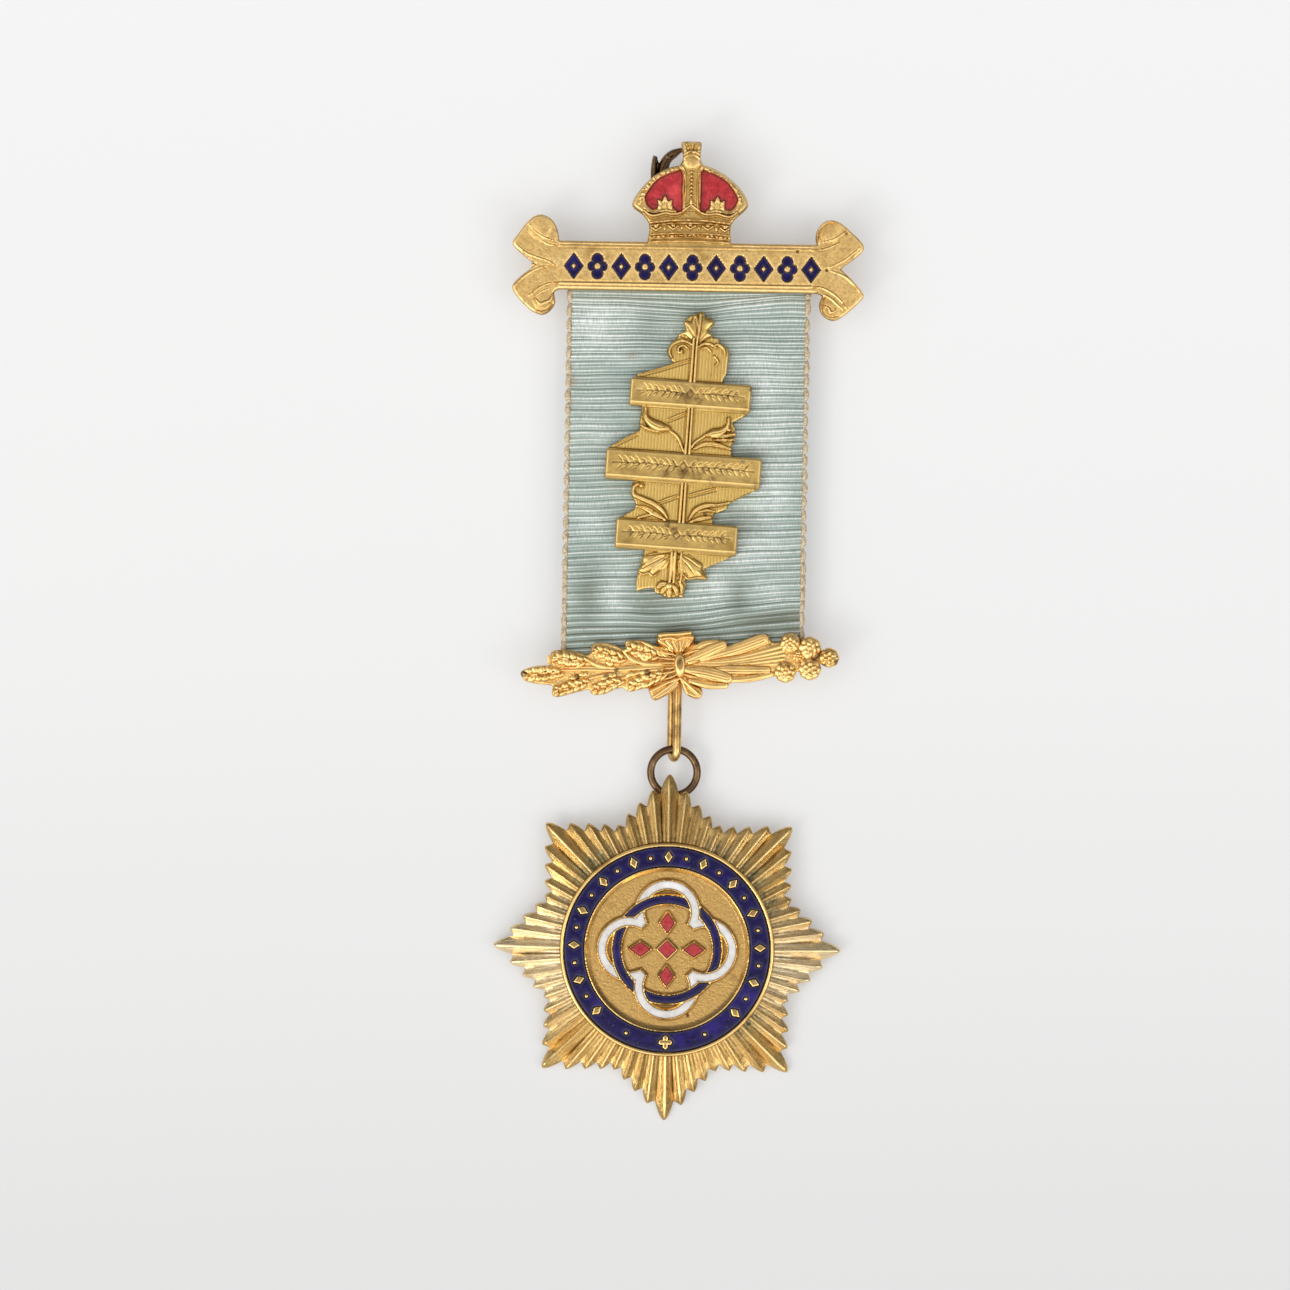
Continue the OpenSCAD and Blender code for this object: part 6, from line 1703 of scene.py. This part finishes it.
def band_at(s):
    """Middle line at a length from the band's lower end: y, z and the direction of travel."""
    if s < FOLD_LEN:
        return ROD_LOW[0] + FOLD_LEN - s, ROD_LOW[1] - BAND_R, math.pi
    s -= FOLD_LEN
    if s < TURN_LEN:
        a = s / BAND_R
        return ROD_LOW[0] - BAND_R * math.sin(a), ROD_LOW[1] - BAND_R * math.cos(a), math.pi - a
    s -= TURN_LEN
    if s < FRONT_LEN:
        t = s / FRONT_LEN
        return ROD_LOW[0] + s, ROD_LOW[1] + BAND_R + t * (ROD_TOP[1] - ROD_LOW[1]), 0.0
    s -= FRONT_LEN
    if s < TURN_LEN:
        a = s / BAND_R
        return ROD_TOP[0] + BAND_R * math.sin(a), ROD_TOP[1] + BAND_R * math.cos(a), -a
    return ROD_TOP[0] - (s - TURN_LEN), ROD_TOP[1] - BAND_R, -math.pi


def ribbon_waves(x, y):
    """How far the ribs are drawn up or down, and how far the cloth rises, at a place on the front."""
    right = step_between(2, 15, x)
    drift = 1.05 * right * bell(y, 43.8, 2.8) + 0.55 * right * bell(y, 0.4, 2.6)
    drift -= 0.45 * bell(x, 1, 4.5) * bell(y, 42.6, 2.2) + 0.60 * bell(x, -0.5, 6.0) * bell(y, 2.4, 2.6)
    drift += 0.05 * np.sin(x * 0.45 + 1.0) * np.sin(y * 0.31) + 0.03 * np.sin(x * 0.9 + y * 0.5)
    rise = 0.10 * np.sin(y * 0.62 + 0.25 * x) * bell(np.abs(x), 12, 5)
    rise += 0.45 * bell(x, 9, 5) * np.sin((y - 41) * 1.1) * bell(y, 41.5, 3.0)
    rise += 0.36 * bell(x, -7, 5) * np.sin((y - 41) * 0.9) * bell(y, 40.5, 3.5)
    rise += 0.34 * bell(x, 5, 6) * np.sin((y - 1) * 1.15) * bell(y, 1.5, 2.5)
    rise += 0.06 * np.sin(x * 0.8 + 0.6) * np.cos(y * 0.17)
    for at, wide, deep in RIBBON_PULLS:
        rise -= deep * mound(x, y, at, wide)
    held = step_between(-2.0, 1.5, y) * (1 - step_between(42.6, 45.2, y))
    return drift * held, np.minimum(rise, 0.4) * held


def band_faces(rows, columns):
    """Faces of a closed band: its front and back, its long edges and its ends."""
    width = columns + 1
    count = (rows + 1) * width
    faces = []
    for a in range(0, rows * width, width):
        for k in range(a, a + columns):
            faces.append([k, k + 1, k + width + 1, k + width])
            faces.append([count + k, count + k + width, count + k + width + 1, count + k + 1])
        b = a + columns
        faces.append([a, a + width, count + a + width, count + a])
        faces.append([b, count + b, count + b + width, b + width])
    end = rows * width
    for k in range(columns):
        faces.append([k, count + k, count + k + 1, k + 1])
        faces.append([end + k, end + k + 1, count + end + k + 1, count + end + k])
    return faces


def strongest(x, y, table):
    """The strongest of several soft patches at each point."""
    return np.maximum.reduce([amount * mound(x, y, at, wide) for at, wide, amount in table])


def make_ribbon():
    s = np.append(((np.arange(int(BAND_LEN / RIB_PITCH))[:, None] + RIB_STEPS) * RIB_PITCH).ravel(), BAND_LEN)
    width = BAND_COLUMNS + 1
    spread = math.pi / 2 * 0.92
    x = np.broadcast_to(np.sin(np.linspace(-spread, spread, width)) / math.sin(spread) * RIBBON_HALF,
                        (len(s), width))
    middle, level, angle = np.array([band_at(v) for v in s]).T[:, :, None]
    front = ((s > FOLD_LEN + TURN_LEN) & (s < FOLD_LEN + TURN_LEN + FRONT_LEN))[:, None]
    across, height = x + RIBBON_X, np.broadcast_to(middle, x.shape)
    drift, rise = (field * front for field in ribbon_waves(across, height))
    # one rib: a main crest, a second one that shows near the top, and the valleys beside them
    phase = s[:, None] / RIB_PITCH
    part = phase - np.floor(phase)
    uneven = 1 + 0.18 * np.sin(np.floor(phase) * 2.4) + 0.12 * np.sin(np.floor(phase) * 5.1)
    double = np.clip(0.35 + 0.5 * step_between(28, 34, height), 0, 1)
    between = double * bell(part, BETWEEN_AT, 0.07)
    line = bell(part, CREST_AT, 0.08) + double * bell(part, SECOND_AT, 0.07)
    rib = np.clip(0.5 * np.sin(np.pi * part) ** 0.6 + 0.45 * line - 0.45 * between, 0, 1)
    # painted shade in the valleys of the ribs, deeper near the bottom and near the top where the bars stand
    # over the silk
    low = bell(height, 0.3, 2.3)
    valley = bell(np.minimum(part, 1 - part), 0, 0.07 + 0.09 * low) + 0.7 * between
    valley_shade = (0.60 + 0.55 * low + 0.30 * bell(height, 44.6, 1.6)
           + 0.30 * bell(across, 2, 6) * bell(height, 41.5, 2.0))
    # both faces, and the slope that takes the ribs from the top bar's level to the spray's
    slope = np.clip((ROD_TOP[0] - middle) / FRONT_LEN, 0, 1) * math.tan(math.radians(SPRAY_TURN))
    edge = 0.16 * step_between(0.93, 1.0, np.abs(x) / RIBBON_HALF)
    half = RIBBON_THICK / 2 - 0.17 * uneven * (1 - rib) - edge
    sides = [np.stack([across, middle - off * np.sin(angle) + x * slope + drift,
                       level + off * np.cos(angle) + rise], axis=2) for off in (half, -half)]
    stains = np.maximum.reduce([amount * (1 - step_between(0, size, np.hypot(across - at[0], height - at[1])))
                                for at, size, amount in RIBBON_STAINS])
    # crest lines carry painted highlight and valleys painted shade; on the front, painted shine and painted
    # fold shade
    values = {"crest": np.clip(line, 0, 1), "valley": np.clip(valley * valley_shade, 0, 1), "stain": stains * front,
              "shine": strongest(across, height, RIBBON_SHINE) * front,
              "fold_shade": strongest(across, height, RIBBON_FOLD_SHADE) * front}
    uv = np.tile(np.stack([x, np.broadcast_to(phase, x.shape)], axis=2).reshape(-1, 2), (2, 1))
    values = {key: np.tile(field.ravel(), 2) for key, field in values.items()}
    obj = add_object("ribbon_silk", np.reshape(sides, (-1, 3)), band_faces(len(s) - 1, BAND_COLUMNS),
                     smooth_angle=80, values=values, uv=uv)
    finish_piece(obj, silk, "ribbon_silk", "ribbon")
    picots = make_picots(s, (sides[0] + sides[1]) / 2)


def picot_part(s, line, side, draw):
    """Edge loops: a cord pinched once for every two ribs. Also how full it is, and its inner side."""
    sides = 12
    even = np.linspace(0, BAND_LEN, int(BAND_LEN / 0.15))
    p = np.stack([np.interp(even, s, line[:, k]) for k in range(3)], axis=1)
    full = np.abs(np.sin(even / (2 * RIB_PITCH) * math.pi)) ** 0.55
    knots = np.arange(0, BAND_LEN + 4, 2 * RIB_PITCH)
    swell = full * np.interp(even, knots, draw.uniform(0.82, 1.05, len(knots)))
    p[:, 0] += side * (0.34 * swell - 0.24)
    p[:, 2] += 0.03 * np.sin(even * 2.3)
    radius = 0.10 + 0.34 * swell
    verts, faces = tube_part(p, radius, sides)
    off = np.array(verts)[:, 0] - np.repeat(p[:, 0], sides)
    return (verts, faces), np.repeat(full, sides), np.clip(-side * off / np.repeat(radius, sides), 0, 1)


def make_picots(s, middle):
    draw = np.random.default_rng(11)
    parts, full, inner = zip(*(picot_part(s, middle[:, k], side, draw) for k, side in ((0, -1), (-1, 1))))
    verts, faces = join_parts(parts)
    obj = add_object("ribbon_picots", verts, faces, smooth_angle=70,
                     values={"crest": np.concatenate(full), "inner": np.concatenate(inner)})
    finish_piece(obj, picot, "ribbon_silk")
    return obj


# Small fittings that keep their own shapes
def dress_nodes():
    for name, material in (("brooch_pin", polished), ("jump_ring", brown), ("bail", gilt_wire)):
        for node in (node for key, node in nodes.items() if key.startswith(name)):
            node.data.materials.clear()
            node.data.materials.append(material)


# Camera, light and surface
FRAME_MM, CAMERA_FAR = 169.0, 600.0
CAMERA_AT, CAMERA_TURN = (-4.29, -1.68), 1.0
SENSOR = 36
# level of the plane that the frame's width is measured on, between the star and the bars
FRAME_LEVEL = 3.0
# world light: a direction to look along, and levels from straight away from it (0) to straight at it (1)
WORLD_LIGHT = [
    ((1.0, 0.0, 0.0), [(0.04, 1.9), (0.22, 1.9), (0.36, 1.9), (0.5, 0.95), (0.62, 1.65), (0.70, 1.6),
      (0.82, 1.05), (0.95, 0.85)]),
    ((0.0, 1.0, 0.0), [(0.08, 1.3), (0.22, 1.0), (0.31, 0.68), (0.40, 0.85), (0.5, 1.0), (0.60, 0.5),
      (0.74, 0.34), (0.95, 0.26)]),
    ((0.0, 0.0, 1.0), [(0.0, 0.25), (0.56, 0.28), (0.69, 0.65), (0.77, 1.3), (0.85, 1.9), (0.95, 2.0),
      (0.972, 1.7), (0.986, 1.25), (0.9935, 0.35), (1.0, 0.08)])]
WORLD_LEVEL, WORLD_STRENGTH = 0.668, 8.0
FLOOR_GLOW, FLOOR_HALF = 0.30, 2.0


def make_camera():
    data = bpy.data.cameras.new("camera")
    data.sensor_width = SENSOR
    data.lens = SENSOR * (CAMERA_FAR - FRAME_LEVEL) / FRAME_MM
    data.clip_start, data.clip_end = 0.01, 20
    camera = put_in_scene("camera", data)
    camera.location = (CAMERA_AT[0] * MM, CAMERA_AT[1] * MM, CAMERA_FAR * MM)
    camera.rotation_euler = (0, 0, math.radians(CAMERA_TURN))
    bpy.context.scene.camera = camera


def area_light(name, at, size, power, colour):
    """A square lamp that faces the middle of the piece."""
    data = bpy.data.lights.new(name, "AREA")
    data.shape, data.size = "SQUARE", size
    data.energy, data.color = power, colour
    light = put_in_scene(name, data)
    light.location = at
    light.rotation_euler = (-Vector(at)).to_track_quat("-Z", "Y").to_euler()


def make_light():
    """World light that varies with the direction looked in, and two weak lamps."""
    world = bpy.data.worlds.new("studio")
    world.use_nodes = True
    w = Nodes(world.node_tree)
    at = w.node("ShaderNodeTexCoord").outputs["Generated"]
    total = 1.0
    for lean, stops in WORLD_LIGHT:
        dot = w.node("ShaderNodeVectorMath", {0: at, 1: lean}, operation="DOT_PRODUCT").outputs["Value"]
        share = w.node("ShaderNodeMapRange", {"Value": dot, "From Min": -1.0}).outputs["Result"]
        level = w.node("ShaderNodeFloatCurve", {"Value": share})
        points = level.mapping.curves[0].points
        while len(points) < len(stops):
            points.new(0.5, 0.5)
        for point, (position, amount) in zip(points, stops):
            point.location = position, amount / 2
            point.handle_type = "VECTOR"
        level.mapping.update()
        total = w.times(total, level.outputs["Value"])
    back = world.node_tree.nodes["Background"]
    w.feed(back.inputs["Color"], total)
    w.feed(back.inputs["Strength"], WORLD_STRENGTH * WORLD_LEVEL)
    bpy.context.scene.world = world
    area_light("key", (-0.42, -0.36, 0.46), 0.20, 0.9, (1.0, 0.99, 0.97))
    area_light("fill", (0.50, -0.24, 0.42), 0.20, 0.5, (0.98, 0.99, 1.0))


def make_floor():
    """A pale matt surface with an even glow, its colour a little darker towards the bottom of the picture:
    painted shade where the light falls off.
    """
    mesh = bpy.data.meshes.new("surface")
    corners = [(x * FLOOR_HALF, y * FLOOR_HALF, 0) for x, y in ((-1, -1), (1, -1), (1, 1), (-1, 1))]
    mesh.from_pydata(corners, [], [(0, 1, 2, 3)])
    floor = put_in_scene("surface", mesh)
    s = Shade("surface", Roughness=0.7, Emission_Color=(1.0, 0.995, 0.985), Emission_Strength=FLOOR_GLOW)
    split = s.node("ShaderNodeSeparateXYZ", {"Vector": s.node("ShaderNodeTexCoord").outputs["Object"]})
    up = s.node("ShaderNodeMapRange", {"Value": split.outputs["Y"], "From Min": -0.09, "From Max": 0.08})
    # painted shade: the colour darkens towards the bottom of the picture
    colour = s.ramp(up.outputs["Result"], (0.0, 0.380), (0.5, 0.480), (1.0, (0.525, 0.525, 0.528)))
    s.set("Base Color", colour)
    mesh.materials.append(s.material)


make_camera()
make_light()
make_floor()
make_crown_bar()
make_scroll_clasp()
make_spray_bar()
make_star()
make_roundel()
make_bar_enamel()
make_roundel_enamel()
make_back_hook()
make_ribbon()
dress_nodes()
bpy.context.scene.view_settings.view_transform = "Standard"
